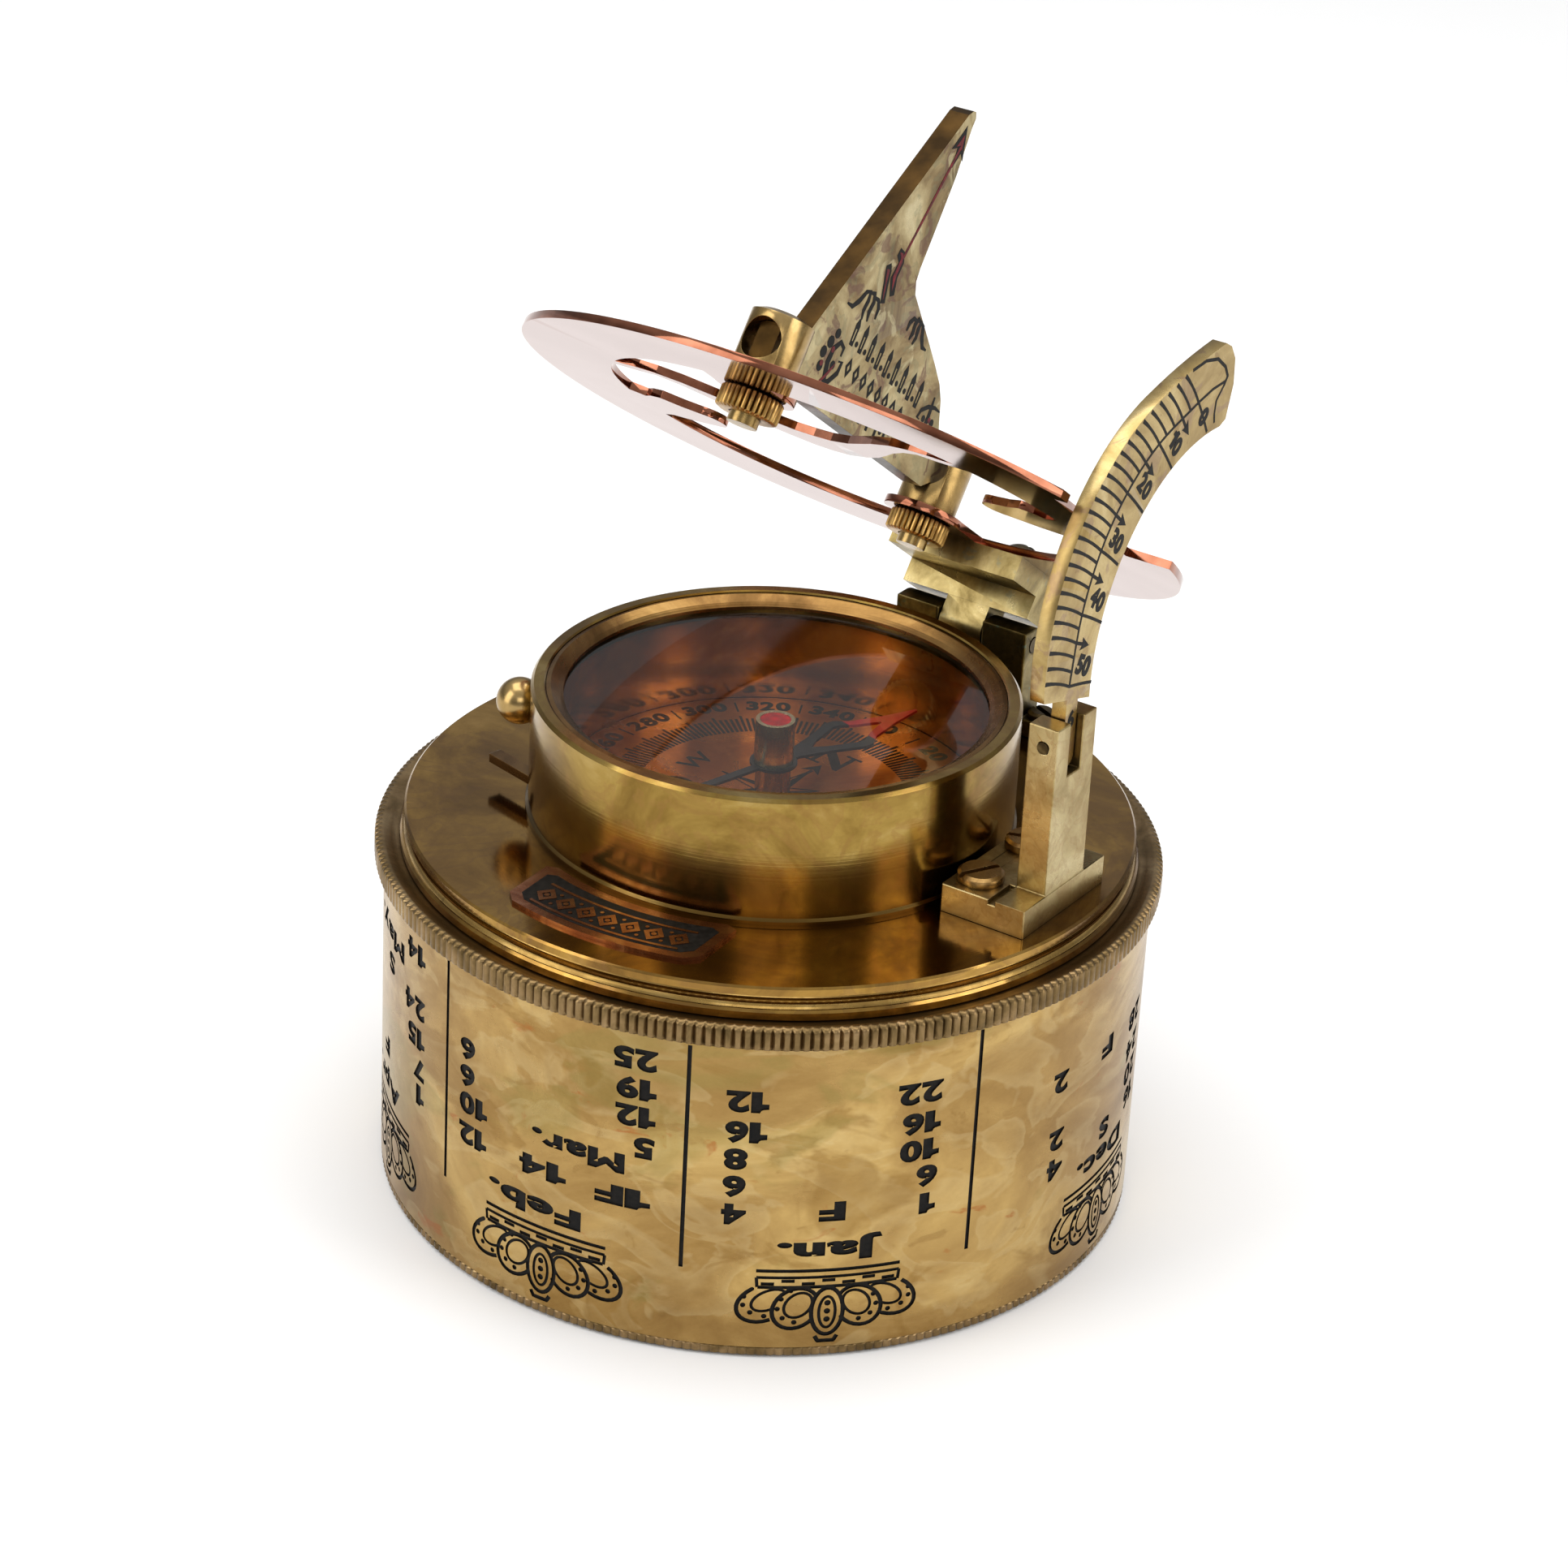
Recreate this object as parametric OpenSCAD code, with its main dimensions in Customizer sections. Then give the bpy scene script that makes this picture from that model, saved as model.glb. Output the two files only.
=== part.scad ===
// Folding sundial compass standing on its own inverted calendar lid.
// Millimetres, +Z up, origin at the centre of the lid's resting face.
// Two directions are used on the instrument: "u" runs along the hinge line
// of the hour plate, "v" runs from the compass centre towards the hinge.

/* [Calendar cup] */
// Height of the calendar cup from its resting face to its rim
cup_h = 35.7; // [33:0.1:38]
// Outer radius of the plain engraved wall
cup_r = 37.08; // [36.6:0.02:37.4]
// Outer radius of the knurled grip ring
knurl_r = 38; // [37.6:0.1:38.6]
// Height of the knurled grip ring
knurl_h = 2.4; // [1.5:0.1:4]
// Inner radius of the cup
cup_inner_r = 34.9; // [34.85:0.05:35.2]
// Thickness of the cup's end wall
cup_floor = 1.8; // [1:0.1:3]

/* [Base and compass case] */
// Radius of the round base disc
disc_r = 35.19; // [34.6:0.01:35.5]
// Height of the top face of the base disc
disc_z = 38.44; // [37.8:0.02:39]
// Outer radius of the compass case
case_r = 23.4; // [22.8:0.1:23.5]
// Height of the compass case above the disc
case_h = 12.76; // [12:0.02:13.2]
// Radius of the bright inner wall of the case
well_r = 20.6; // [20:0.1:20.8]
// Height of the dial face
dial_z = 40.1; // [39.9:0.1:40.3]
// Angle from +X at which the needle's red tip stands
needle_at = 42.8; // [0:0.1:360]

/* [Hour plate] */
// Angle of the hour plate above level
tilt = 36.3; // [30:0.1:40]
// Outer radius of the hour plate
plate_r = 33.43; // [32.5:0.01:33.6]
// Inner radius of the hour band
band_r = 24.3; // [23.5:0.1:25]
// Thickness of the hour plate
plate_t = 0.8; // [0.6:0.05:0.85]
// Distance from the hinge line to the plate's centre
plate_reach = 30.48; // [30:0.02:31]
// Height of the plate's underside above the hinge line, when level
plate_rise = 6.89; // [6.8:0.01:7.2]

/* [Gnomon] */
// Height of the gnomon's tip above the plate's underside
gnomon_h = 34.9; // [30:0.1:36]
// Thickness of the gnomon
gnomon_t = 2.2; // [1.8:0.1:2.4]
// Radius of the two gnomon posts
post_r = 3.05; // [2.9:0.05:3.2]
// Radius of the cross hole in each post
post_hole_r = 2; // [1.95:0.01:2.05]

/* [Latitude arc] */
// Radius of the arc's outer scale edge
arc_out_r = 22.4; // [22:0.1:22.6]
// Radius of the arc's inner edge
arc_in_r = 19.4; // [19:0.1:19.8]
// Thickness of the arc
arc_t = 1.5; // [1.2:0.1:1.6]

/* [Hinge line] */
// Height of the hinge line
hinge_z = 47.7; // [47.5:0.1:48]
// Distance of the hinge line behind the compass centre
hinge_v = 30.4; // [30.2:0.1:30.6]
// Radius of the hinge pin
hinge_pin_r = 0.8; // [0.6:0.05:0.9]

/* [Hidden] */
$fn = 96;
bearing = -32.8;          // direction of the u axis, seen from above
rim_z = disc_z + case_h;  // top of the compass case
seat_z = 35.2;            // face inside the cup's mouth that carries the base
arc_u = 31.2;             // middle of the arc's thickness
pivot_z = 56.1;           // arc pivot height
post_top_z = 58.2;        // top of the arc bracket's fork
slot_z = 52.8;            // bottom of the fork
plate_u = 0.4;            // sideways position of the plate's centre
post_n = 20.3;            // upper gnomon post, from the plate's centre
post_s = -17.9;           // lower gnomon post, from the plate's centre
axle_n = 4.6;             // gnomon axle above the plate's underside
knuckle_u0 = 0.15;        // moving knuckle, one side
knuckle_u1 = 5.05;        // moving knuckle, other side
block_u0 = -5.2;          // hinge block, one end
block_u1 = 9.4;           // hinge block, other end
lever_at = 181.7;         // where the needle lock leaves the case wall
e = 0.01;

brass = [0.71, 0.57, 0.30];
dark_brass = [0.52, 0.41, 0.22];
copper = [0.85, 0.55, 0.42];

// ---------- frames ----------

// u, v, z directions
module uv() rotate([0, 0, bearing]) children();

// hinge line frame, opened by the plate's tilt; x = u, -y = away from the hinge
module hinge_frame() uv() translate([0, hinge_v, hinge_z]) rotate([-tilt, 0, 0]) children();

// plate frame: centre of the plate's underside, +y away from the hinge
module plate_frame()
    hinge_frame() translate([0, -plate_reach, plate_rise]) mirror([0, 1, 0]) children();

// slotted cheese head screw with its shank pointing down; z = 0 under the head
module cheese_screw(head_r, head_h, shank_r, shank_l, slot_at = 0)
    difference() {
        union() {
            cylinder(r = head_r, h = head_h - 0.25);
            translate([0, 0, head_h - 0.25 - e]) cylinder(r1 = head_r, r2 = head_r - 0.3, h = 0.25 + e);
            translate([0, 0, -shank_l]) cylinder(r = shank_r, h = shank_l + e);
        }
        rotate([0, 0, slot_at]) translate([-head_r - 1, -0.3, head_h - 0.55]) cube([2 * head_r + 2, 0.6, 1]);
    }

// ---------- calendar cup ----------

module calendar_cup()
    color(brass)
    rotate_extrude($fn = 180)
    polygon([
        [0, 0], [cup_r - 0.5, 0], [cup_r - 0.15, 0.25], [cup_r - 0.15, 1.05], [cup_r, 1.2],
        [cup_r, cup_h - knurl_h - 0.15], [knurl_r - 0.25, cup_h - knurl_h],
        [knurl_r, cup_h - knurl_h + 0.2], [knurl_r, cup_h - 0.25], [knurl_r - 0.25, cup_h],
        [cup_inner_r + 0.9, cup_h], [cup_inner_r + 0.9, seat_z], [cup_inner_r, seat_z],
        [cup_inner_r, cup_floor + 1], [cup_inner_r - 1, cup_floor], [0, cup_floor]]);

// ---------- base ----------

module base_disc()
    color(brass)
    difference() {
        rotate_extrude($fn = 180)
        polygon([
            [0, disc_z], [disc_r - 0.2, disc_z], [disc_r, disc_z - 0.2], [disc_r, disc_z - 0.85],
            [disc_r - 0.6, disc_z - 1.0], [disc_r - 0.6, disc_z - 1.2], [disc_r - 0.1, disc_z - 1.35],
            [disc_r - 0.1, disc_z - 1.55], [disc_r - 0.6, disc_z - 1.7], [disc_r - 0.6, disc_z - 1.95],
            [disc_r + 0.2, disc_z - 2.15], [disc_r + 0.4, disc_z - 2.4], [disc_r + 0.4, seat_z + 0.15],
            [disc_r + 0.25, seat_z],
            [cup_inner_r - 0.2, seat_z], [cup_inner_r - 0.2, seat_z - 0.7], [cup_inner_r - 0.7, seat_z - 1.1],
            [cup_inner_r - 0.2, seat_z - 1.5], [cup_inner_r - 0.7, seat_z - 2.0],
            [cup_inner_r - 0.2, seat_z - 2.5], [cup_inner_r - 0.7, seat_z - 3.0],
            [cup_inner_r - 0.2, seat_z - 3.5], [cup_inner_r - 0.2, seat_z - 4.0],
            [32.4, seat_z - 4.0], [32.4, disc_z - 2.2], [0, disc_z - 2.2]]);
        // screw holes: bracket, hinge base, compass case
        uv() for (v = [-4.2, 4.2]) translate([26.2, v, disc_z - 3]) cylinder(r = 1.1, h = 4);
        uv() for (u = [-6.7, 11.8]) translate([u, 30.4, disc_z - 3]) cylinder(r = 0.9, h = 4);
        for (a = [30, 150, 270]) rotate([0, 0, a]) translate([16, 0, disc_z - 3]) cylinder(r = 1.2, h = 4);
    }

module compass_case()
    color(brass)
    difference() {
        rotate_extrude($fn = 180)
        polygon([
            [0, disc_z], [case_r + 0.25, disc_z], [case_r + 0.25, disc_z + 0.35], [case_r, disc_z + 0.6],
            [case_r, rim_z - 0.35], [case_r - 0.3, rim_z], [22.15, rim_z], [22.0, rim_z - 0.15],
            [22.0, 48.9], [well_r, 48.9], [well_r, dial_z - 0.5], [well_r - 1.1, dial_z - 0.5],
            [well_r - 1.1, disc_z + 0.6], [0, disc_z + 0.6]]);
        // seat of the pivot
        translate([0, 0, disc_z - 1]) cylinder(r = 1.0, h = 4);
        // seat of the ball knob's stem
        rotate([0, 0, 174.7]) translate([well_r + 0.6, 0, 47.3]) rotate([0, 90, 0]) cylinder(r = 0.7, h = 4);
        // slot of the needle lock
        lever_frame() translate([-9.5, -0.95, -0.55]) cube([11.5, 1.9, 1.1]);
        // case screws enter from below
        for (a = [30, 150, 270]) rotate([0, 0, a]) translate([16, 0, disc_z - 1]) cylinder(r = 0.8, h = 3);
    }

module dial_card()
    color(copper)
    difference() {
        translate([0, 0, dial_z - 0.5]) cylinder(r = well_r - 0.1, h = 0.5, $fn = 128);
        translate([0, 0, dial_z - 2]) cylinder(r = 1.0, h = 3);
        rotate([0, 0, 181]) translate([9.5, 0, dial_z - 2]) cylinder(r = 0.6, h = 3, $fn = 48);
    }

// domed rivet that holds the dial card down
module dial_rivet()
    color(dark_brass)
    rotate([0, 0, 181]) translate([9.5, 0, dial_z])
    rotate_extrude($fn = 64)
    polygon([[0, 0.6], [0.7, 0.57], [1.3, 0.47], [1.8, 0.3], [2.2, 0.1], [2.3, 0],
             [0.58, 0], [0.58, -1.0], [0, -1.0]]);

module needle_pivot()
    color(brass)
    translate([0, 0, disc_z + 0.1]) {
        cylinder(r = 0.98, h = dial_z - disc_z - 0.15);
        cylinder(r = 0.55, h = 44.2 - disc_z);
        translate([0, 0, 44.2 - disc_z - e]) cylinder(r1 = 0.55, r2 = 0.08, h = 0.8);
    }

module case_glass()
    color([0.85, 0.9, 0.92, 0.35])
    translate([0, 0, 48.9]) cylinder(r = 21.9, h = 1.0, $fn = 128);

module retaining_ring()
    color(dark_brass)
    rotate_extrude($fn = 128)
    polygon([[21.93, 49.9], [21.93, rim_z - 0.2], [21.5, rim_z - 0.12], [20.7, rim_z - 0.62],
             [20.3, rim_z - 0.95], [20.3, 49.9]]);

module ball_knob()
    color(brass)
    rotate([0, 0, 174.7]) {
        difference() {
            translate([case_r + 1.25, 0, 47.3]) sphere(r = 2.3, $fn = 48);
            translate([0, 0, 40]) cylinder(r = case_r + 0.02, h = 14, $fn = 180);
        }
        translate([21.3, 0, 47.3]) rotate([0, 90, 0]) cylinder(r = 0.65, h = 3);
    }

module maker_plate()
    color(copper)
    rotate([0, 0, 240.3])
    translate([0, 0, disc_z])
    linear_extrude(height = 0.4)
    difference() {
        intersection() {
            circle(r = 32.1, $fn = 160);
            translate([20, -10.45]) square([16, 20.9]);
        }
        circle(r = 24.7, $fn = 160);
    }

// three screws from under the disc into the case floor
module case_screw(a)
    color(dark_brass)
    rotate([0, 0, a]) translate([16, 0, disc_z - 2.2]) mirror([0, 0, 1])
    cheese_screw(2.0, 0.9, 0.78, 2.6, 20);
module case_screw_a() case_screw(30);
module case_screw_b() case_screw(150);
module case_screw_c() case_screw(270);

// ---------- needle lock ----------

// lever frame: origin where the lever crosses the case wall, +x outwards
module lever_frame()
    rotate([0, 0, lever_at]) translate([case_r, 0, 40.84])
    rotate([0, 0, -48.4]) children();

module lock_lever()
    color(dark_brass)
    lever_frame() translate([-6.5, -0.7, -0.45]) cube([11.7, 1.4, 0.9]);

module lift_ring()
    color(brass)
    translate([0, 0, dial_z + 0.05])
    difference() {
        cylinder(r = 1.7, h = needle_z - 0.32 - dial_z - 0.05, $fn = 48);
        translate([0, 0, -1]) cylinder(r = 0.63, h = 6, $fn = 48);
    }

// ---------- needle ----------

needle_z = 43.2;

module needle()
    color([0.08, 0.08, 0.09])
    rotate([0, 0, needle_at])
    translate([0, 0, needle_z])
    difference() {
        union() {
            // open fork towards the red tip
            linear_extrude(height = 0.28)
            polygon([[0, 0.8], [2.7, 0.85], [5.9, 1.75], [9.3, 3.0], [10.3, 2.95], [11.6, 1.95], [15.2, 0.85], [18.7, 0.12],
                     [18.7, -0.12], [15.2, -0.85], [11.6, -1.95], [10.3, -2.95], [9.3, -3.0], [5.9, -1.75], [2.7, -0.85], [0, -0.8]]);
            cylinder(r = 2.3, h = 0.28, $fn = 48);
            // slim tail
            translate([-17.5, -0.45, 0]) cube([17.5, 0.9, 0.28]);
        }
        translate([0, 0, -1]) linear_extrude(height = 3)
        polygon([[5.0, 0.1], [6.2, 0.8], [9.4, 1.95], [10.1, 1.9], [11.6, 1.05], [14.0, 0.1],
                 [14.0, -0.1], [11.6, -1.05], [10.1, -1.9], [9.4, -1.95], [6.2, -0.8], [5.0, -0.1]]);
        translate([0, 0, -1]) cylinder(r = 0.62, h = 3, $fn = 48);
    }

module needle_cap()
    color(brass)
    translate([0, 0, needle_z + 0.28])
    difference() {
        cylinder(r = 1.9, h = 47.9 - needle_z - 0.28, $fn = 64);
        translate([0, 0, -1]) cylinder(r = 0.62, h = 1 + 45.1 - needle_z - 0.28, $fn = 48);
        translate([0, 0, 47.9 - needle_z - 0.28 - 0.5]) cylinder(r = 1.5, h = 2, $fn = 48);
    }

module cap_jewel()
    color([0.7, 0.04, 0.08])
    translate([0, 0, 47.4]) cylinder(r = 1.5, h = 0.42, $fn = 48);

// ---------- arc bracket ----------

module arc_bracket()
    color(brass)
    uv()
    difference() {
        union() {
            translate([23.85, -7.2, disc_z]) cube([32.8 - 23.85, 14.4, 2.86]);
            translate([29.6, -3.4, disc_z]) cube([3.1, 6.8, post_top_z - disc_z]);
        }
        // fork
        translate([28, -1.15, slot_z]) cube([6, 2.3, 10]);
        // pivot bore
        translate([arc_u, -5, pivot_z]) rotate([-90, 0, 0]) cylinder(r = 0.6, h = 10, $fn = 48);
        // screw holes
        for (v = [-4.2, 4.2]) translate([26.2, v, disc_z - 1]) cylinder(r = 1.1, h = 6);
        // small relief beside the post's foot
        translate([28.9, -8, disc_z + 2.4]) cube([0.7, 4.6, 1]);
    }

module bracket_screw(v, at)
    color(brass)
    uv() translate([26.2, v, disc_z + 2.86]) cheese_screw(2.2, 1.0, 1.08, 4.4, at);
module bracket_screw_a() bracket_screw(-4.2, 62);
module bracket_screw_b() bracket_screw(4.2, 20);

module arc_pin()
    color(dark_brass)
    uv() translate([arc_u, -3.45, pivot_z]) rotate([-90, 0, 0]) cylinder(r = 0.59, h = 6.9, $fn = 48);

// ---------- latitude arc ----------

module latitude_arc()
    color(brass)
    uv() translate([arc_u - arc_t / 2, 0, 0]) rotate([90, 0, 90])
    difference() {
        union() {
            linear_extrude(height = arc_t)
            intersection() {
                difference() {
                    union() {
                        translate([17.1, 63.9]) circle(r = arc_out_r, $fn = 160);
                        // the scale edge runs flatter towards the tip
                        intersection() {
                            translate([29, 17.8]) circle(r = 70, $fn = 720);
                            translate([11.5, 76]) square([15, 14]);
                        }
                    }
                    translate([22.5, 59.9]) circle(r = arc_in_r, $fn = 160);
                }
                // shoulder at the foot, slanted tip at the top
                polygon([[-7.5, 62.1], [3.3, 59.05], [8, 59], [22, 78.6], [24.7, 79.7], [25.65, 82.9],
                         [25.5, 85.5], [24.6, 86.95], [23.3, 87.7], [-10, 90]]);
            }
            // tongue between the fork's cheeks
            linear_extrude(height = arc_t) translate([-1, 54.2]) square([2, 7.4]);
            translate([0, pivot_z - 1.9, 0]) cylinder(r = 1, h = arc_t, $fn = 32);
        }
        translate([-1.2, pivot_z, arc_t / 2]) rotate([0, 90, 0]) cylinder(r = 0.64, h = 2.4, $fn = 48);
    }

// ---------- plate hinge ----------

module hinge_base()
    color(dark_brass)
    uv()
    difference() {
        union() {
            translate([-4.9, hinge_v - 1.75, disc_z]) cube([15.2, 3.5, hinge_z - disc_z]);
            translate([-4.9, hinge_v - 1.75, hinge_z - 1]) cube([15.2, 1.75, 2.75]);
            translate([-4.9, hinge_v, hinge_z]) rotate([0, 90, 0]) cylinder(r = 1.75, h = 15.2);
            translate([-8.3, hinge_v - 1.75, disc_z]) cube([21.5, 3.5, 1.8]);
        }
        // gap for the moving knuckle
        translate([knuckle_u0 - 0.15, hinge_v - 3, hinge_z - 2.1]) cube([knuckle_u1 - knuckle_u0 + 0.3, 6, 6]);
        // pin bore
        translate([-6, hinge_v, hinge_z]) rotate([0, 90, 0]) cylinder(r = hinge_pin_r, h = 18, $fn = 48);
        // foot screws
        for (u = [-6.7, 11.8]) translate([u, 30.4, disc_z - 1]) cylinder(r = 0.9, h = 4);
    }

module hinge_screw(u, at)
    color(dark_brass)
    uv() translate([u, 30.4, disc_z + 1.8]) cheese_screw(1.4, 0.8, 0.88, 3.6, at);
module hinge_screw_a() hinge_screw(-6.7, 40);
module hinge_screw_b() hinge_screw(11.8, -25);

module hinge_pin()
    color(dark_brass)
    uv() translate([-4.95, hinge_v, hinge_z]) rotate([0, 90, 0]) cylinder(r = hinge_pin_r - 0.01, h = 15.3, $fn = 48);

// block under the plate: slab, step and knuckle
module hinge_block()
    color(brass)
    difference() {
        union() {
            plate_frame() translate([block_u0, -32.4, -2.45]) cube([block_u1 - block_u0, 9.5, 2.45]);
            plate_frame() translate([block_u0, -32.4, -4.85]) cube([block_u1 - block_u0, 3.7, 2.5]);
            hinge_frame() translate([knuckle_u0, -1.75, 0]) cube([knuckle_u1 - knuckle_u0, 3.5, plate_rise - 4.7]);
            hinge_frame() translate([knuckle_u0, 0, 0]) rotate([0, 90, 0]) cylinder(r = 1.75, h = knuckle_u1 - knuckle_u0);
        }
        hinge_frame() translate([knuckle_u0 - 1, 0, 0]) rotate([0, 90, 0])
            cylinder(r = hinge_pin_r + 0.04, h = knuckle_u1 - knuckle_u0 + 2, $fn = 48);
        for (u = [-2.9, 7.1]) plate_frame() translate([u, -27.4, -2]) cylinder(r = 0.8, h = 3, $fn = 48);
    }

module plate_screw(u)
    color(dark_brass)
    plate_frame() translate([u, -27.4, plate_t])
    difference() {
        union() {
            intersection() {
                translate([0, 0, -1.35]) sphere(r = 2.5, $fn = 48);
                cylinder(r = 2.6, h = 3);
            }
            translate([0, 0, -plate_t - 1.9]) cylinder(r = 0.78, h = plate_t + 2.0, $fn = 48);
        }
        rotate([0, 0, 35]) translate([-3, -0.3, 0.7]) cube([6, 0.6, 2]);
    }
module plate_screw_a() plate_screw(-2.9);
module plate_screw_b() plate_screw(7.1);

// ---------- hour plate ----------

// right half of the ornamental bar that crosses the opening
module bar_half()
    polygon([[-0.1, 3.6], [2, 3.9], [4.5, 5.3], [6.8, 7.2], [8.6, 9.3], [10.4, 11.5], [12.5, 13.5],
             [14.5, 14.6], [16.5, 14.2], [20.2, 14.0], [20.2, 15.6], [18, 15.4], [16, 15.7], [14, 15.6],
             [11.5, 14.8], [8.7, 13.0], [6.5, 11.2], [4.5, 9.6], [2, 8.4], [-0.1, 8.2]]);

// right side tongue
module tongue()
    union() {
        translate([16.6, -0.5]) circle(r = 1.9, $fn = 48);
        polygon([[16.4, 1.38], [18.4, 2.1], [20.2, 3.3], [21.6, 2.9], [22.6, 2.1], [25, 3.4],
                 [25, -5.2], [22.4, -3.7], [19.6, -3.3], [16.4, -2.38]]);
    }

module hour_plate()
    color(copper)
    plate_frame()
    linear_extrude(height = plate_t)
    difference() {
        translate([plate_u, 0]) circle(r = plate_r, $fn = 180);
        difference() {
            translate([plate_u, 0]) circle(r = band_r, $fn = 160);
            // ear of the upper post
            translate([0, post_n]) circle(r = 3.9, $fn = 64);
            translate([-3.7, post_n]) square([7.4, 6]);
            // ear of the lower post and its neck
            translate([0, post_s]) circle(r = 4, $fn = 64);
            translate([-3.9, -26]) square([7.8, 26 + post_s]);
            translate([plate_u, 0]) {
                bar_half();
                mirror([1, 0]) bar_half();
                tongue();
                mirror([1, 0]) tongue();
            }
        }
        // clearance for the arc and its bracket, open at the edge
        translate([28.9, -4.3]) square([8, 17.7]);
        translate([30.25, 13.3]) square([6, 8]);
        // post holes
        translate([0, post_n]) circle(r = 1.5, $fn = 48);
        translate([0, post_s]) circle(r = 1.5, $fn = 48);
        // hinge screws
        for (u = [-2.9, 7.1]) translate([u, -27.4]) circle(r = 0.85, $fn = 48);
    }

// ---------- gnomon ----------

module gnomon_post(at)
    color(brass)
    plate_frame() translate([0, at, 0])
    difference() {
        union() {
            translate([0, 0, plate_t]) cylinder(r = post_r, h = 7.3 - plate_t, $fn = 64);
            translate([0, 0, 7.3 - e]) cylinder(r1 = post_r, r2 = post_r - 0.9, h = 0.4, $fn = 64);
            translate([0, 0, -3.1]) cylinder(r = 1.48, h = 3.2 + plate_t, $fn = 48);
        }
        translate([0, -5, axle_n]) rotate([-90, 0, 0]) cylinder(r = post_hole_r, h = 10, $fn = 64);
    }
module gnomon_post_upper() gnomon_post(post_n);
module gnomon_post_lower() gnomon_post(post_s);

module post_nut(at)
    color(brass)
    plate_frame() translate([0, at, -2.2])
    difference() {
        cylinder(r = 3.05, h = 2.2, $fn = 64);
        translate([0, 0, -1]) cylinder(r = 1.5, h = 5, $fn = 48);
    }
module post_nut_upper() post_nut(post_n);
module post_nut_lower() post_nut(post_s);

module gnomon()
    color(brass)
    plate_frame() {
        translate([-gnomon_t / 2, 0, 0]) rotate([90, 0, 90])
        linear_extrude(height = gnomon_t)
        polygon([
            [17.1, 7.6], [4.75, gnomon_h - 0.7], [4.2, gnomon_h - 0.1], [3.7, gnomon_h], [3.3, gnomon_h - 0.5],
            [3.3, gnomon_h - 1.6], [2.7, 28.6], [2.55, 22.8], [2.5, 19.2], [2.3, 18.0], [1.5, 16.9],
            [-1.2, 15.6], [-4.3, 14.1], [-7.1, 12.7], [-9.3, 11.5], [-10.8, 10.2], [-11.8, 8.8],
            [-12.8, 7.5], [-14.7, 6.5], [-14.7, 2.9], [-13.4, 2.1],
            [15.9, 2.1], [17.1, 2.9]]);
        // flat-sided round tenons that turn in the posts' cross holes
        intersection() {
            translate([0, -19.6, axle_n]) rotate([-90, 0, 0]) cylinder(r = post_hole_r - 0.06, h = 41.6, $fn = 64);
            translate([-gnomon_t / 2, -19.6, 0]) cube([gnomon_t, 41.6, 10]);
        }
    }

// ---------- assembly ----------

calendar_cup();
base_disc();
compass_case();
dial_card();
dial_rivet();
needle_pivot();
case_glass();
retaining_ring();
ball_knob();
maker_plate();
arc_bracket();
bracket_screw_a();
bracket_screw_b();
arc_pin();
hinge_base();
hinge_screw_a();
hinge_screw_b();
hinge_pin();
case_screw_a();
case_screw_b();
case_screw_c();
hour_plate();
hinge_block();
plate_screw_a();
plate_screw_b();
gnomon_post_upper();
gnomon_post_lower();
post_nut_upper();
post_nut_lower();
gnomon();
latitude_arc();
needle();
needle_cap();
cap_jewel();
lift_ring();
lock_lever();
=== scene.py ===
import math
import random

import bpy
import numpy as np
from mathutils import Matrix, Vector, geometry


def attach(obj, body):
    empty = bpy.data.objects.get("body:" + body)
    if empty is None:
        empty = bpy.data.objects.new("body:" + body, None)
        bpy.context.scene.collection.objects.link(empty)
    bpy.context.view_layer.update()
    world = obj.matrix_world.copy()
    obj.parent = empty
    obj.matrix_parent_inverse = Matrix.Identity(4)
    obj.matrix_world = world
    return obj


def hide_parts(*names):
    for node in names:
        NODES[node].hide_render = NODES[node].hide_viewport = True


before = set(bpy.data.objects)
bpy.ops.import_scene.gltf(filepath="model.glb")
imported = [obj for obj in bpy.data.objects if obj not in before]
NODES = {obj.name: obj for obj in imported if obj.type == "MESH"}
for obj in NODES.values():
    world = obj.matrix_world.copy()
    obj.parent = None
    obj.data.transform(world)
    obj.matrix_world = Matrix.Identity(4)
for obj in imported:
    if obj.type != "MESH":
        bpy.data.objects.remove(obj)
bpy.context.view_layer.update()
scene = bpy.context.scene
MM = 0.001
random.seed(7)

# ------------------------------------------------------------------ frames

BEARING = math.radians(-32.8)
TILT = math.radians(36.3)
UX, UY = math.cos(BEARING), math.sin(BEARING)
VX, VY = -math.sin(BEARING), math.cos(BEARING)


def uvz(u, v, z):
    return Vector((u * UX + v * VX, u * UY + v * VY, z))


def plate_pt(u, w, n):
    """Plate frame in mm: w away from the hinge, n above the plate's underside."""
    y, z = -30.48 - w, 6.89 + n
    c, s = math.cos(TILT), math.sin(TILT)
    return uvz(u, 30.4 + y * c + z * s, 47.7 - y * s + z * c)


def polar(r, deg, z):
    a = math.radians(deg)
    return Vector((r * math.cos(a), r * math.sin(a), z))


# ------------------------------------------------------------------ mesh helpers

def new_mesh(name, verts, faces, mats, body, mat_ids=None, smooth=False, replaces=(), slot=None):
    """A piece from points in millimetres in the row frame."""
    me = bpy.data.meshes.new(name)
    me.from_pydata([tuple(Vector(v) * MM) for v in verts], [], faces)
    for m in mats:
        me.materials.append(m)
    if mat_ids:
        me.polygons.foreach_set("material_index", mat_ids)
    if smooth is True:
        me.polygons.foreach_set("use_smooth", [True] * len(me.polygons))
    me.update()
    ob = bpy.data.objects.new(name, me)
    scene.collection.objects.link(ob)
    if smooth not in (True, False):
        me.shade_smooth() if hasattr(me, "shade_smooth") else None
        me.set_sharp_from_angle(angle=math.radians(smooth))
    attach(ob, body)
    if replaces:
        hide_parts(*replaces)
    return ob


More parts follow.
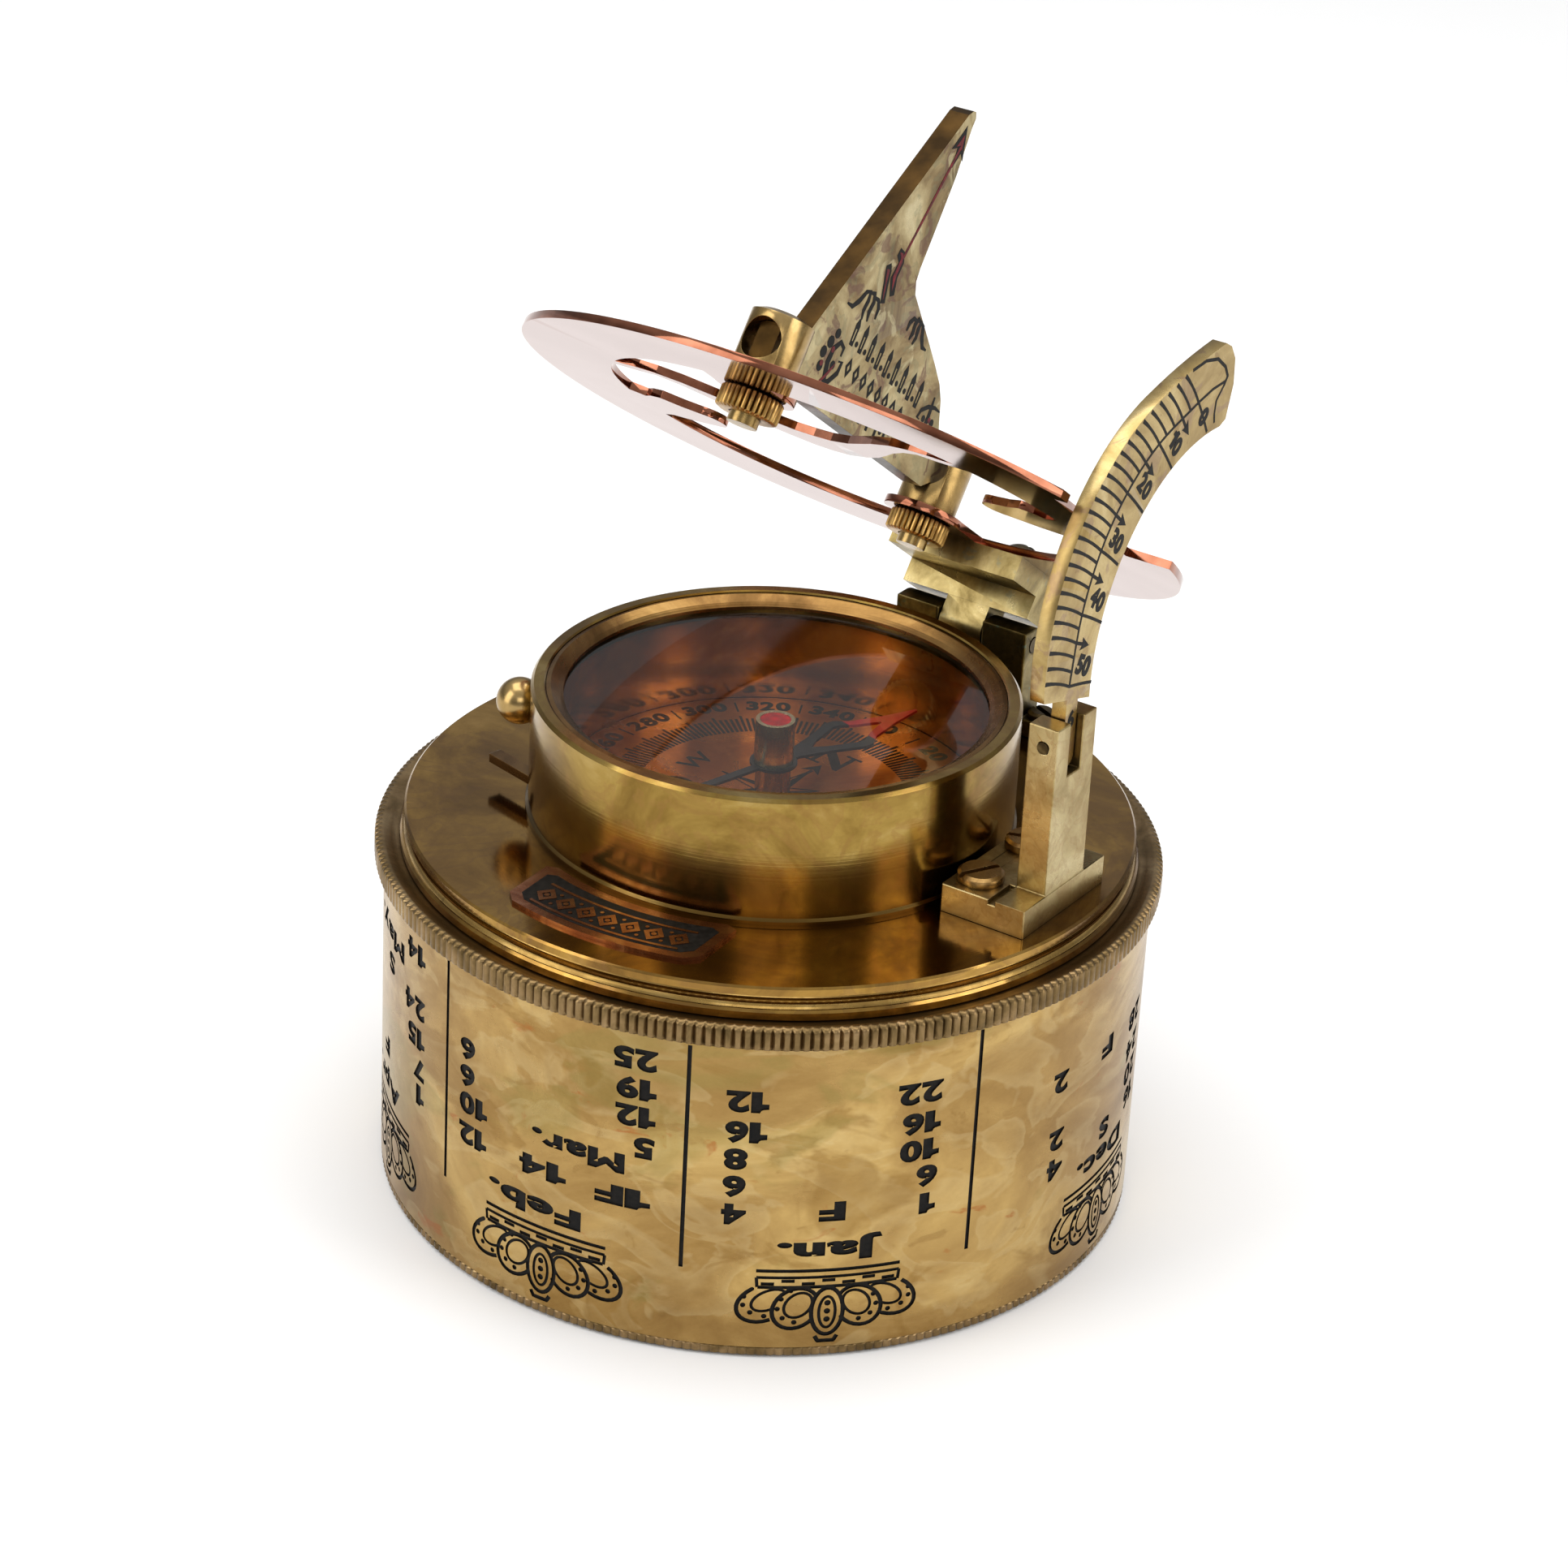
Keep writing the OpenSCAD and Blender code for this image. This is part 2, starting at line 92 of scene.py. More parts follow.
def area(loop):
    return 0.5 * sum(loop[i - 1][0] * loop[i][1] - loop[i][0] * loop[i - 1][1] for i in range(len(loop)))


def ccw(loop):
    return loop if area(loop) > 0 else loop[::-1]


def even_odd(px, py, loops):
    """For arrays of points: which lie inside an odd number of the loops."""
    hit = np.zeros(len(px), bool)
    for loop in loops:
        ax, ay = loop[-1]
        for bx, by in loop:
            if ay != by:
                cross = (ay > py) != (by > py)
                hit ^= cross & (px < (bx - ax) * (py - ay) / (by - ay) + ax)
            ax, ay = bx, by
    return hit


def cut_sheet(outline, groups, lines=()):
    """Triangles of the plane inside outline (or of the groups alone if outline is None).
    groups: list of lists of closed loops, even-odd inside a group. Returns points, triangles, marked flags."""
    verts, edges = [], []
    groups = [[l for l in g if len(l) > 2] for g in groups]

    def add(loop):
        i, n = len(verts), len(loop)
        verts.extend(Vector((p[0], p[1])) for p in loop)
        edges.extend((i + k, i + (k + 1) % n) for k in range(n))

    if outline:
        add(outline)
    for g in groups:
        for l in g:
            add(l)
    for a, b in lines:
        i = len(verts)
        verts.extend((Vector(a), Vector(b)))
        edges.append((i, i + 1))
    v, e, f, _, _, _ = geometry.delaunay_2d_cdt(verts, edges, [], 0, 1e-6, False)
    pts = np.array([(p.x, p.y) for p in v])
    tri = np.array([list(t) for t in f])
    c = pts[tri].mean(1)
    marked = np.zeros(len(tri), bool)
    for g in groups:
        if not g:
            continue
        box = np.array([p for l in g for p in l])
        (x0, y0), (x1, y1) = box.min(0), box.max(0)
        near = np.nonzero((c[:, 0] > x0) & (c[:, 0] < x1) & (c[:, 1] > y0) & (c[:, 1] < y1))[0]
        if len(near):
            marked[near] |= even_odd(c[near, 0], c[near, 1], g)
    keep = even_odd(c[:, 0], c[:, 1], [outline]) if outline else marked
    p, q, r = pts[tri[:, 0]], pts[tri[:, 1]], pts[tri[:, 2]]
    a = (q[:, 0] - p[:, 0]) * (r[:, 1] - p[:, 1]) - (q[:, 1] - p[:, 1]) * (r[:, 0] - p[:, 0])
    keep &= np.abs(a) > 1e-10
    tris = [list(t) if s > 0 else list(t)[::-1] for t, s in zip(tri[keep].tolist(), a[keep])]
    return [tuple(x) for x in pts.tolist()], tris, marked[keep].tolist()


def engraved(name, outline, groups, lines, place, depth, back, mats, body, wrap=None, **kw):
    """A sheet whose marked areas are sunk by depth, closed at the back by a face at -back."""
    pts, tris, marked = cut_sheet(outline, groups, lines)
    verts, index = [], {}

    def vid(i, level):
        key = (wrap(pts[i]) if wrap else i, level)
        if key not in index:
            index[key] = len(verts)
            verts.append(place(pts[i][0], pts[i][1], -level))
        return index[key]

    faces, ids, side = [], [], {}
    for t, m in zip(tris, marked):
        level = depth if m else 0.0
        faces.append([vid(i, level) for i in t])
        ids.append(1 if m else 0)
        faces.append([vid(i, back) for i in reversed(t)])
        ids.append(0)
        for k in range(3):
            side[(t[k], t[(k + 1) % 3])] = m
    for (a, b), m in side.items():
        other = side.get((b, a))
        if other is None:
            top = depth if m else 0.0
            if wrap and wrap(pts[a])[2] and wrap(pts[b])[2]:
                continue
            faces.append([vid(b, top), vid(a, top), vid(a, back), vid(b, back)])
            ids.append(0)
        elif m and not other:
            faces.append([vid(a, depth), vid(b, depth), vid(b, 0.0), vid(a, 0.0)])
            ids.append(1)
    return new_mesh(name, verts, faces, mats, body, ids, **kw)


def inlay(name, groups, place, mats, body, top=0.02, bottom=-0.02, lines=(), **kw):
    """Thin closed solids with the groups' shapes, their tops just clear of the surface they fill."""
    pts, tris, _ = cut_sheet(None, groups, lines)
    verts, index = [], {}

    def vid(i, h):
        if (i, h) not in index:
            index[(i, h)] = len(verts)
            verts.append(place(pts[i][0], pts[i][1], h))
        return index[(i, h)]

    faces, side = [], set()
    for t in tris:
        faces.append([vid(i, top) for i in t])
        faces.append([vid(i, bottom) for i in reversed(t)])
        for k in range(3):
            side.add((t[k], t[(k + 1) % 3]))
    for a, b in side:
        if (b, a) not in side:
            faces.append([vid(a, top), vid(a, bottom), vid(b, bottom), vid(b, top)])
    return new_mesh(name, verts, faces, mats, body, **kw)


def stroke(points, width, closed=False):
    """Groups (one per straight run, plus a dot per bend) that together draw a line of some width."""
    out, n = [], len(points)
    for i in range(n if closed else n - 1):
        a, b = Vector(points[i]), Vector(points[(i + 1) % n])
        d = b - a
        if d.length < 1e-6:
            continue
        d.normalize()
        p = Vector((-d.y, d.x)) * width / 2
        out.append([[tuple(a + p), tuple(a - p), tuple(b - p), tuple(b + p)]])
    for i in range(0 if closed else 1, n if closed else n - 1):
        out.append([disc(points[i], width / 2, 8)])
    return out


def taper(points, widths):
    """One closed outline of a line whose width changes along it."""
    left, right = [], []
    for i, p in enumerate(points):
        a = Vector(points[max(i - 1, 0)])
        b = Vector(points[min(i + 1, len(points) - 1)])
        d = (b - a).normalized()
        n = Vector((-d.y, d.x)) * widths[i] / 2
        left.append(tuple(Vector(p) + n))
        right.append(tuple(Vector(p) - n))
    return [left + right[::-1]]


def disc(c, r, n=16):
    return [(c[0] + r * math.cos(2 * math.pi * (k + .5) / n), c[1] + r * math.sin(2 * math.pi * (k + .5) / n)) for k in range(n)]


def arc_pts(c, r, a0, a1, n):
    return [(c[0] + r * math.cos(math.radians(a0 + (a1 - a0) * k / n)), c[1] + r * math.sin(math.radians(a0 + (a1 - a0) * k / n))) for k in range(n + 1)]


def moved(groups, fn):
    return [[[fn(x, y) for x, y in l] for l in g] for g in groups]


def lathe(name, profile, n, mats, body, radial=None, smooth=30, **kw):
    """Closed profile (r, z, tag) turned about Z. radial(tag, k) is added to the radius."""
    verts, faces, rows = [], [], []
    for r, z, tag in profile:
        if r < 1e-6:
            rows.append([len(verts)] * n)
            verts.append((0, 0, z))
            continue
        row = []
        for k in range(n):
            a = 2 * math.pi * k / n
            rr = r + (radial(tag, k) if radial else 0)
            row.append(len(verts))
            verts.append((rr * math.cos(a), rr * math.sin(a), z))
        rows.append(row)
    m = len(profile)
    for i in range(m):
        j = (i + 1) % m
        if profile[i][0] < 1e-6 and profile[j][0] < 1e-6:
            continue
        for k in range(n):
            l = (k + 1) % n
            f = [rows[i][k], rows[i][l], rows[j][l], rows[j][k]]
            f = [x for q, x in enumerate(f) if x != f[q - 1]]
            if len(f) > 2:
                faces.append(f)
    return new_mesh(name, verts, faces, mats, body, smooth=smooth, **kw)


# ------------------------------------------------------------------ lettering (numbers and months)

_glyphs = {}
ONE = [(0.42, 0), (0.42, 0.72), (0.31, 0.72), (0.285, 0.65), (0.22, 0.595), (0.12, 0.575), (0.12, 0.475), (0.28, 0.475), (0.28, 0)]


def inside(p, loop):
    x, y, c = p[0], p[1], False
    for i in range(len(loop)):
        (ax, ay), (bx, by) = loop[i - 1], loop[i]
        if (ay > y) != (by > y) and x < (bx - ax) * (y - ay) / (by - ay) + ax:
            c = not c
    return c


def grow(loop, d):
    """The loop moved outward by d, mitred but never by more than 2 d."""
    loop, out = ccw(loop), []
    n = len(loop)
    for i in range(n):
        p, a, b = Vector(loop[i]), Vector(loop[i - 1]), Vector(loop[(i + 1) % n])
        e, f = (p - a), (b - p)
        if e.length < 1e-9 or f.length < 1e-9:
            continue
        e.normalize()
        f.normalize()
        m = Vector((e.y, -e.x)) + Vector((f.y, -f.x))
        if m.length < 1e-6:
            continue
        m.normalize()
        k = d / max(0.6, m.dot(Vector((e.y, -e.x))))
        out.append(tuple(p + m * k))
    return out


def glyph(ch):
    """Closed outlines of one character at size 1, its left and right edge."""
    if ch in _glyphs:
        return _glyphs[ch]
    if ch == "1":
        _glyphs[ch] = ([ONE], 0.12, 0.42)
        return _glyphs[ch]
    cu = bpy.data.curves.new("lettering", "FONT")
    cu.body, cu.size, cu.resolution_u, cu.fill_mode = ch, 1.0, 4, "NONE"
    ob = bpy.data.objects.new("lettering", cu)
    scene.collection.objects.link(ob)
    bpy.context.view_layer.update()
    ev = ob.evaluated_get(bpy.context.evaluated_depsgraph_get())
    me = ev.to_mesh()
    near = {}
    for e in me.edges:
        a, b = e.vertices
        near.setdefault(a, []).append(b)
        near.setdefault(b, []).append(a)
    co = [(v.co.x, v.co.y) for v in me.vertices]
    loops, seen = [], set()
    for s0 in range(len(co)):
        if s0 in seen or s0 not in near:
            continue
        loop, prev, cur = [], None, s0
        while cur not in seen:
            seen.add(cur)
            loop.append(co[cur])
            step = [x for x in near[cur] if x != prev and x not in seen]
            if not step:
                break
            prev, cur = cur, step[0]
        if len(loop) > 2:
            loops.append(loop)
    ev.to_mesh_clear()
    bpy.data.objects.remove(ob)
    bpy.data.curves.remove(cu)
    xs = [p[0] for l in loops for p in l]
    _glyphs[ch] = (loops, min(xs), max(xs))
    return _glyphs[ch]


_ys = [p[1] for l in glyph("H")[0] for p in l]
CAP_H = max(_ys) - min(_ys)


def line_of(text, bold, gap=0.13):
    """Outlines of a line of text at size 1, made heavier by bold, and its box."""
    out, x = [], 0.0
    for ch in text:
        if ch == " ":
            x += 0.32
            continue
        loops, x0, x1 = glyph(ch)
        sy = CAP_H / 0.72 if ch == "1" else 1.0
        for l in loops:
            depth = sum(1 for o in loops if o is not l and inside(l[0], o))
            g = grow(l, -bold if depth % 2 else bold)
            out.append([(px - x0 + x, py * sy) for px, py in g])
        x += x1 - x0 + gap
    xs = [p[0] for l in out for p in l]
    ys = [p[1] for l in out for p in l]
    return out, (min(xs), min(ys), max(xs), max(ys))


def words(text, x0, x1, y, cap, bold=0.012):
    """One group: text from x0 to x1 on the baseline y, its capitals cap high."""
    loops, (ax, ay, bx, by) = line_of(text, bold)
    sx, sy = (x1 - x0) / (bx - ax), cap / (CAP_H + 2 * bold)
    return [[[(x0 + (px - ax) * sx, y + (py + bold) * sy) for px, py in l] for l in loops]]


def words_at(text, cx, cy, cap, bold=0.012, wide=1.0):
    """One group: text centred at cx, cy."""
    loops, (ax, ay, bx, by) = line_of(text, bold)
    k = cap / (CAP_H + 2 * bold)
    return [[[(cx + (px - (ax + bx) / 2) * k * wide, cy + (py - CAP_H / 2) * k) for px, py in l] for l in loops]]


# ------------------------------------------------------------------ materials

def material(name):
    m = bpy.data.materials.new(name)
    m.use_nodes = True
    m.node_tree.nodes.clear()
    return m, m.node_tree.nodes, m.node_tree.links


def rgb(h):
    """Linear colour from an sRGB hex string."""
    c = [int(h[i:i + 2], 16) / 255 for i in (0, 2, 4)]
    return tuple((x / 12.92 if x <= 0.04045 else ((x + 0.055) / 1.055) ** 2.4) for x in c) + (1.0,)


def metal(name, tones, stops=(0.3, 0.45, 0.58, 0.72), size=9.0, warp=1.6, streak=None, rough=(0.18, 0.36),
          spots=0.0, spot_tone="3a2c18", bump=0.05, brushed=None, grime_and_shade=0.0, grime_and_shade_tone="2a2010",
          grime_and_shade_size=1.2, metallic=1.0, fine=0.35, stains=(), fields=None, shade=None):
    """Worn metal. tones: hex colours from dark to light laid out by a warped noise of feature size `size` mm.
    streak: (x, y, z) stretch of the pattern. brushed: (axis, strength) fine turned or brushed lines."""
    m, nodes, links = material(name)

    def N(kind, **kw):
        n = nodes.new(kind)
        for k, v in kw.items():
            setattr(n, k, v)
        return n

    out = N("ShaderNodeOutputMaterial")
    bsdf = N("ShaderNodeBsdfPrincipled")
    links.new(bsdf.outputs[0], out.inputs[0])
    bsdf.inputs["Metallic"].default_value = metallic
    tc = N("ShaderNodeTexCoord")
    mp = N("ShaderNodeMapping")
    mp.inputs["Scale"].default_value = streak or (1, 1, 1)
    links.new(tc.outputs["Object"], mp.inputs[0])

    def noise(scale_mm, detail=5, distortion=0.0, rough_=0.55, vec=None, off=0.0):
        n = N("ShaderNodeTexNoise")
        n.inputs["Scale"].default_value = 1000.0 / scale_mm
        n.inputs["Detail"].default_value = detail
        n.inputs["Distortion"].default_value = distortion
        n.inputs["Roughness"].default_value = rough_
        if off:
            add = N("ShaderNodeVectorMath", operation="ADD")
            add.inputs[1].default_value = (off, off * 0.7, -off)
            links.new(vec or mp.outputs[0], add.inputs[0])
            links.new(add.outputs[0], n.inputs["Vector"])
        else:
            links.new(vec or mp.outputs[0], n.inputs["Vector"])
        return n

    def ramp(src, stops_):
        r = N("ShaderNodeValToRGB")
        el = r.color_ramp.elements
        while len(el) > 1:
            el.remove(el[-1])
        el[0].position, el[0].color = stops_[0][0], stops_[0][1]
        for p, c in stops_[1:]:
            x = el.new(p)
            x.color = c
        links.new(src, r.inputs[0])
        return r

    def mix(a, b, fac, mode="MIX"):
        x = N("ShaderNodeMix", data_type="RGBA", blend_type=mode)
        for sock, val in ((0, fac), (6, a), (7, b)):
            if isinstance(val, (int, float)):
                x.inputs[sock].default_value = val
            elif isinstance(val, tuple):
                x.inputs[sock].default_value = val
            else:
                links.new(val, x.inputs[sock])
        return x.outputs[2]

    cols = [rgb(t) for t in tones]
    base = noise(size, 6, warp, 0.6)
    pos = stops if len(stops) == len(cols) else [0.3 + 0.42 * k / max(1, len(cols) - 1) for k in range(len(cols))]
    colour = ramp(base.outputs[0], list(zip(pos, cols))).outputs[0]
    # cloudy fields with a sharper edge, as lacquer and oxide leave
    cloud = noise(size * 0.55, 3, warp * 1.8, 0.5, off=0.31)
    edge = ramp(cloud.outputs[0], [(0.0, (0, 0, 0, 1)), (0.50, (0, 0, 0, 1)), (0.53, (1, 1, 1, 1)), (0.62, (0.35, 0.35, 0.35, 1)), (0.75, (0, 0, 0, 1))]).outputs[0]
    if fields:
        tone, amount = fields
        k = N("ShaderNodeMath", operation="MULTIPLY")
        k.inputs[1].default_value = amount
        links.new(edge, k.inputs[0])
        colour = mix(colour, rgb(tone), k.outputs[0])
    for i, (tone, s_mm, thr, amount) in enumerate(stains):
        st = noise(s_mm, 4, 0.8, 0.55, off=0.77 + 0.37 * i)
        sm = ramp(st.outputs[0], [(0.0, (0, 0, 0, 1)), (thr, (0, 0, 0, 1)), (thr + 0.06, (amount, amount, amount, 1)), (thr + 0.16, (amount * 0.6,) * 3 + (1,))]).outputs[0]
        colour = mix(colour, rgb(tone), sm)
    # fine grain
    grain = noise(0.5, 4, 0.0, 0.7, off=0.11)
    g = ramp(grain.outputs[0], [(0.25, (1 - fine, 1 - fine, 1 - fine, 1)), (0.7, (1, 1, 1, 1))]).outputs[0]
    colour = mix(colour, g, 1.0, "MULTIPLY")
    if spots:
        sp = noise(1.6, 3, 0.4, 0.6, off=0.53)
        sm = ramp(sp.outputs[0], [(0.0, (0, 0, 0, 1)), (0.64 - 0.08 * spots, (0, 0, 0, 1)), (0.70 - 0.06 * spots, (1, 1, 1, 1))]).outputs[0]
        k = N("ShaderNodeMath", operation="MULTIPLY")
        k.inputs[1].default_value = min(1.0, spots)
        links.new(sm, k.inputs[0])
        colour = mix(colour, rgb(spot_tone), k.outputs[0])
    # painted shade with grime: the colour is darkened wherever ambient occlusion finds crevices, joints and hollows
    if grime_and_shade:
        ao = N("ShaderNodeAmbientOcclusion")
        ao.samples = 6
        ao.inputs["Distance"].default_value = grime_and_shade_size * MM
        grime_and_shade_mask = ramp(ao.outputs["AO"], [(0.35, (grime_and_shade, grime_and_shade, grime_and_shade, 1)), (0.85, (0, 0, 0, 1))]).outputs[0]
        colour = mix(colour, rgb(grime_and_shade_tone), grime_and_shade_mask)
    if shade:
        colour = shade(N, links, tc, mix, colour)
    links.new(colour, bsdf.inputs["Base Color"])
    # roughness follows the clouds
    rr = N("ShaderNodeMapRange")
    rr.inputs["From Min"].default_value = 0.3
    rr.inputs["From Max"].default_value = 0.7
    rr.inputs["To Min"].default_value = rough[1]
    rr.inputs["To Max"].default_value = rough[0]
    links.new(base.outputs[0], rr.inputs[0])
    links.new(rr.outputs[0], bsdf.inputs["Roughness"])
    # surface: low waves, grain, and turned lines
    b1 = N("ShaderNodeBump")
    b1.inputs["Strength"].default_value = bump
    b1.inputs["Distance"].default_value = 0.0004
    low = noise(size * 0.45, 3, 0.3, 0.5, vec=tc.outputs["Object"], off=0.2)
    links.new(low.outputs[0], b1.inputs["Height"])
    b2 = N("ShaderNodeBump")
    b2.inputs["Strength"].default_value = min(1.0, bump * 1.5)
    b2.inputs["Distance"].default_value = 0.00004
    links.new(grain.outputs[0], b2.inputs["Height"])
    links.new(b1.outputs[0], b2.inputs["Normal"])
    last = b2
    if brushed:
        axis, strength = brushed
        bm = N("ShaderNodeMapping")
        if axis == "ring":
            # rings about Z: stretch by radius and height only
            sep = N("ShaderNodeSeparateXYZ")
            links.new(tc.outputs["Object"], sep.inputs[0])
            ln = N("ShaderNodeVectorMath", operation="LENGTH")
            cx = N("ShaderNodeCombineXYZ")
            links.new(sep.outputs[0], cx.inputs[0])
            links.new(sep.outputs[1], cx.inputs[1])
            links.new(cx.outputs[0], ln.inputs[0])
            c2 = N("ShaderNodeCombineXYZ")
            links.new(ln.outputs["Value"], c2.inputs[0])
            links.new(sep.outputs[2], c2.inputs[2])
            vec = c2.outputs[0]
            nn = noise(0.22, 2, 0.0, 0.5, vec=vec)
        else:
            bm.inputs["Scale"].default_value = axis
            links.new(tc.outputs["Object"], bm.inputs[0])
            nn = noise(0.25, 3, 0.0, 0.6, vec=bm.outputs[0])
        b3 = N("ShaderNodeBump")
        b3.inputs["Strength"].default_value = strength
        b3.inputs["Distance"].default_value = 0.00003
        links.new(nn.outputs[0], b3.inputs["Height"])
        links.new(b2.outputs[0], b3.inputs["Normal"])
        last = b3
    links.new(last.outputs[0], bsdf.inputs["Normal"])
    return m


def paint(name, hexes, rough=0.45, size=0.6, bump=0.2, spec=0.12):
    """Dark fill or enamel: a little colour change, grain and unevenness."""
    m, nodes, links = material(name)
    out = nodes.new("ShaderNodeOutputMaterial")
    b = nodes.new("ShaderNodeBsdfPrincipled")
    links.new(b.outputs[0], out.inputs[0])
    tc = nodes.new("ShaderNodeTexCoord")
    n = nodes.new("ShaderNodeTexNoise")
    n.inputs["Scale"].default_value = 1000.0 / size
    n.inputs["Detail"].default_value = 4
    links.new(tc.outputs["Object"], n.inputs["Vector"])
    r = nodes.new("ShaderNodeValToRGB")
    r.color_ramp.elements[0].position, r.color_ramp.elements[0].color = 0.35, rgb(hexes[0])
    r.color_ramp.elements[1].position, r.color_ramp.elements[1].color = 0.7, rgb(hexes[1])
    links.new(n.outputs[0], r.inputs[0])
    links.new(r.outputs[0], b.inputs["Base Color"])
    b.inputs["Specular IOR Level"].default_value = spec
    mr = nodes.new("ShaderNodeMapRange")
    mr.inputs["To Min"].default_value = rough * 0.7
    mr.inputs["To Max"].default_value = min(1.0, rough * 1.4)
    links.new(n.outputs[0], mr.inputs[0])
    links.new(mr.outputs[0], b.inputs["Roughness"])
    bp = nodes.new("ShaderNodeBump")
    bp.inputs["Strength"].default_value = bump
    bp.inputs["Distance"].default_value = 0.00005
    links.new(n.outputs[0], bp.inputs["Height"])
    links.new(bp.outputs[0], b.inputs["Normal"])
    return m


# the grime amounts given below also paint shade into crevices, knurls and joints
cup_brass = metal("cup_patina", ["86673a", "9b7b48", "ab8b54", "bb9b5f", "caae75"], (0.30, 0.42, 0.52, 0.60, 0.74),
                  size=24, warp=0.8, streak=(1, 1, 1.7), rough=(0.20, 0.34), bump=0.05, fine=0.08,
                  fields=("d6c290", 0.20), spots=0.0,
                  stains=(("84622f", 14.0, 0.54, 0.5), ("7f7840", 18.0, 0.57, 0.32), ("8c6c3c", 5.0, 0.62, 0.45), ("a05a2a", 6.0, 0.66, 0.6)))
rim_brass = metal("rim_brass", ["8a6c3a", "a5854a", "bf9f62"], size=7, rough=(0.2, 0.32), bump=0.04, fine=0.15, spots=0.3)
knurl_brass = metal("knurl_brass", ["604e31", "7e6743", "947a55", "a88f66"], size=7, rough=(0.26, 0.42), bump=0.08,
                    grime_and_shade=0.45, grime_and_shade_size=0.45, fine=0.2)
inner_brass = metal("cup_inside", ["6f5a30", "8d7440", "a3894f"], size=12, rough=(0.3, 0.45), bump=0.06, fine=0.2)
disc_brass = metal("disc_brass", ["6b4f28", "8a6834", "a5803f", "bd9654"], (0.3, 0.45, 0.56, 0.72), size=22, warp=1.8,
                   rough=(0.07, 0.15), bump=0.02, fine=0.08, grime_and_shade=0.35, grime_and_shade_size=1.0, brushed=("ring", 0.10),
                   fields=("7a5a3a", 0.35), spots=0.12)
def rim_and_foot(N, links, tc, mix, colour):
    """The case is browner at its rim, and painted shade darkens it at the fillet where it meets the disc."""
    sep = N("ShaderNodeSeparateXYZ")
    links.new(tc.outputs["Object"], sep.inputs[0])
    r = N("ShaderNodeValToRGB")
    el = r.color_ramp.elements
    while len(el) > 1:
        el.remove(el[-1])
    mr = N("ShaderNodeMapRange")
    mr.inputs["From Min"].default_value = 0.038
    mr.inputs["From Max"].default_value = 0.054
    links.new(sep.outputs[2], mr.inputs[0])
    el[0].position, el[0].color = 0.0, (1, 1, 1, 1)
    # low heights: painted shade at the fillet by the disc; top heights: browner rim tone
    for p, c in ((0.05, 0.9), (0.12, 0.25), (0.22, 0.0), (0.78, 0.0), (0.9, 0.35), (0.97, 0.7), (1.0, 0.8)):
        x = el.new(p)
        x.color = (c, c, c, 1)
    links.new(mr.outputs[0], r.inputs[0])
    return mix(colour, rgb("59421f"), r.outputs[0])


case_brass = metal("case_brass", ["6b5226", "866a33", "9d8142", "b0965a", "a07c4c"], (0.28, 0.42, 0.54, 0.64, 0.76), size=14, warp=1.7,
                   rough=(0.12, 0.22), bump=0.025, fine=0.08, brushed=("ring", 0.18), grime_and_shade=0.6, grime_and_shade_size=1.4,
                   fields=("8f6a3c", 0.4), shade=rim_and_foot)
ring_brass = metal("ring_brass", ["5c4324", "745530", "8a693c", "9c7c4b"], size=12, rough=(0.2, 0.32), bump=0.03, fine=0.12,
                   brushed=("ring", 0.3), grime_and_shade=0.5, grime_and_shade_size=0.6)
bracket_brass = metal("bracket_brass", ["8a7546", "a48f5f", "b7a474", "c5b486"], size=8, warp=1.4, rough=(0.24, 0.38),
                      bump=0.10, fine=0.15, spots=0.35, spot_tone="7d5f36", brushed=((6, 6, 0.5), 0.25), grime_and_shade=0.6,
                      grime_and_shade_size=0.9, fields=("8d6a3c", 0.3))
arc_brass = metal("arc_brass", ["8a7040", "a58c58", "baa26c", "cdb886"], size=8, warp=1.0, rough=(0.22, 0.34), bump=0.08,
                  fine=0.12, stains=(("8a6d5c", 3.0, 0.56, 0.5), ("84653a", 2.0, 0.62, 0.5)), grime_and_shade=0.5, grime_and_shade_size=0.6)
post_brass = metal("post_brass", ["8b7144", "a28653", "b99c68"], size=6, rough=(0.2, 0.32), bump=0.05, fine=0.12,
                   grime_and_shade=0.5, grime_and_shade_size=0.7, brushed=((0.4, 0.4, 0.4), 0.2))
cap_brass = metal("cap_brass", ["a8946c", "c8b68f", "dccdab"], size=3, rough=(0.22, 0.34), bump=0.06, fine=0.12, brushed=("ring", 0.2))
nut_brass = metal("nut_brass", ["a07c42", "bb9455", "cda767"], size=5, rough=(0.25, 0.38), bump=0.05, fine=0.15,
                  grime_and_shade=0.8, grime_and_shade_size=0.35)
hinge_brass = metal("hinge_brass", ["4b4024", "6a5c34", "86754a", "a19164"], size=5, warp=1.8, rough=(0.3, 0.48), bump=0.18,
                    fine=0.25, spots=0.6, spot_tone="5d6f62", grime_and_shade=0.75, grime_and_shade_size=1.4)
block_brass = metal("block_brass", ["7d6c40", "9b8856", "b3a06b", "c4b380"], size=6, warp=1.5, rough=(0.26, 0.4), bump=0.12,
                    fine=0.2, spots=0.3, spot_tone="5e7a78", grime_and_shade=0.65, grime_and_shade_size=1.2, brushed=((0.6, 6, 6), 0.3))
dark_steel = metal("screw_dark", ["3a3020", "54462c", "6f6040"], size=3, rough=(0.3, 0.5), bump=0.15, fine=0.3, grime_and_shade=0.7,
                   grime_and_shade_size=0.6)
screw_brass = metal("screw_brass", ["8f6f42", "ad8a55", "c4a36c"], size=3, rough=(0.24, 0.38), bump=0.12, fine=0.2,
                    grime_and_shade=0.8, grime_and_shade_size=0.5)
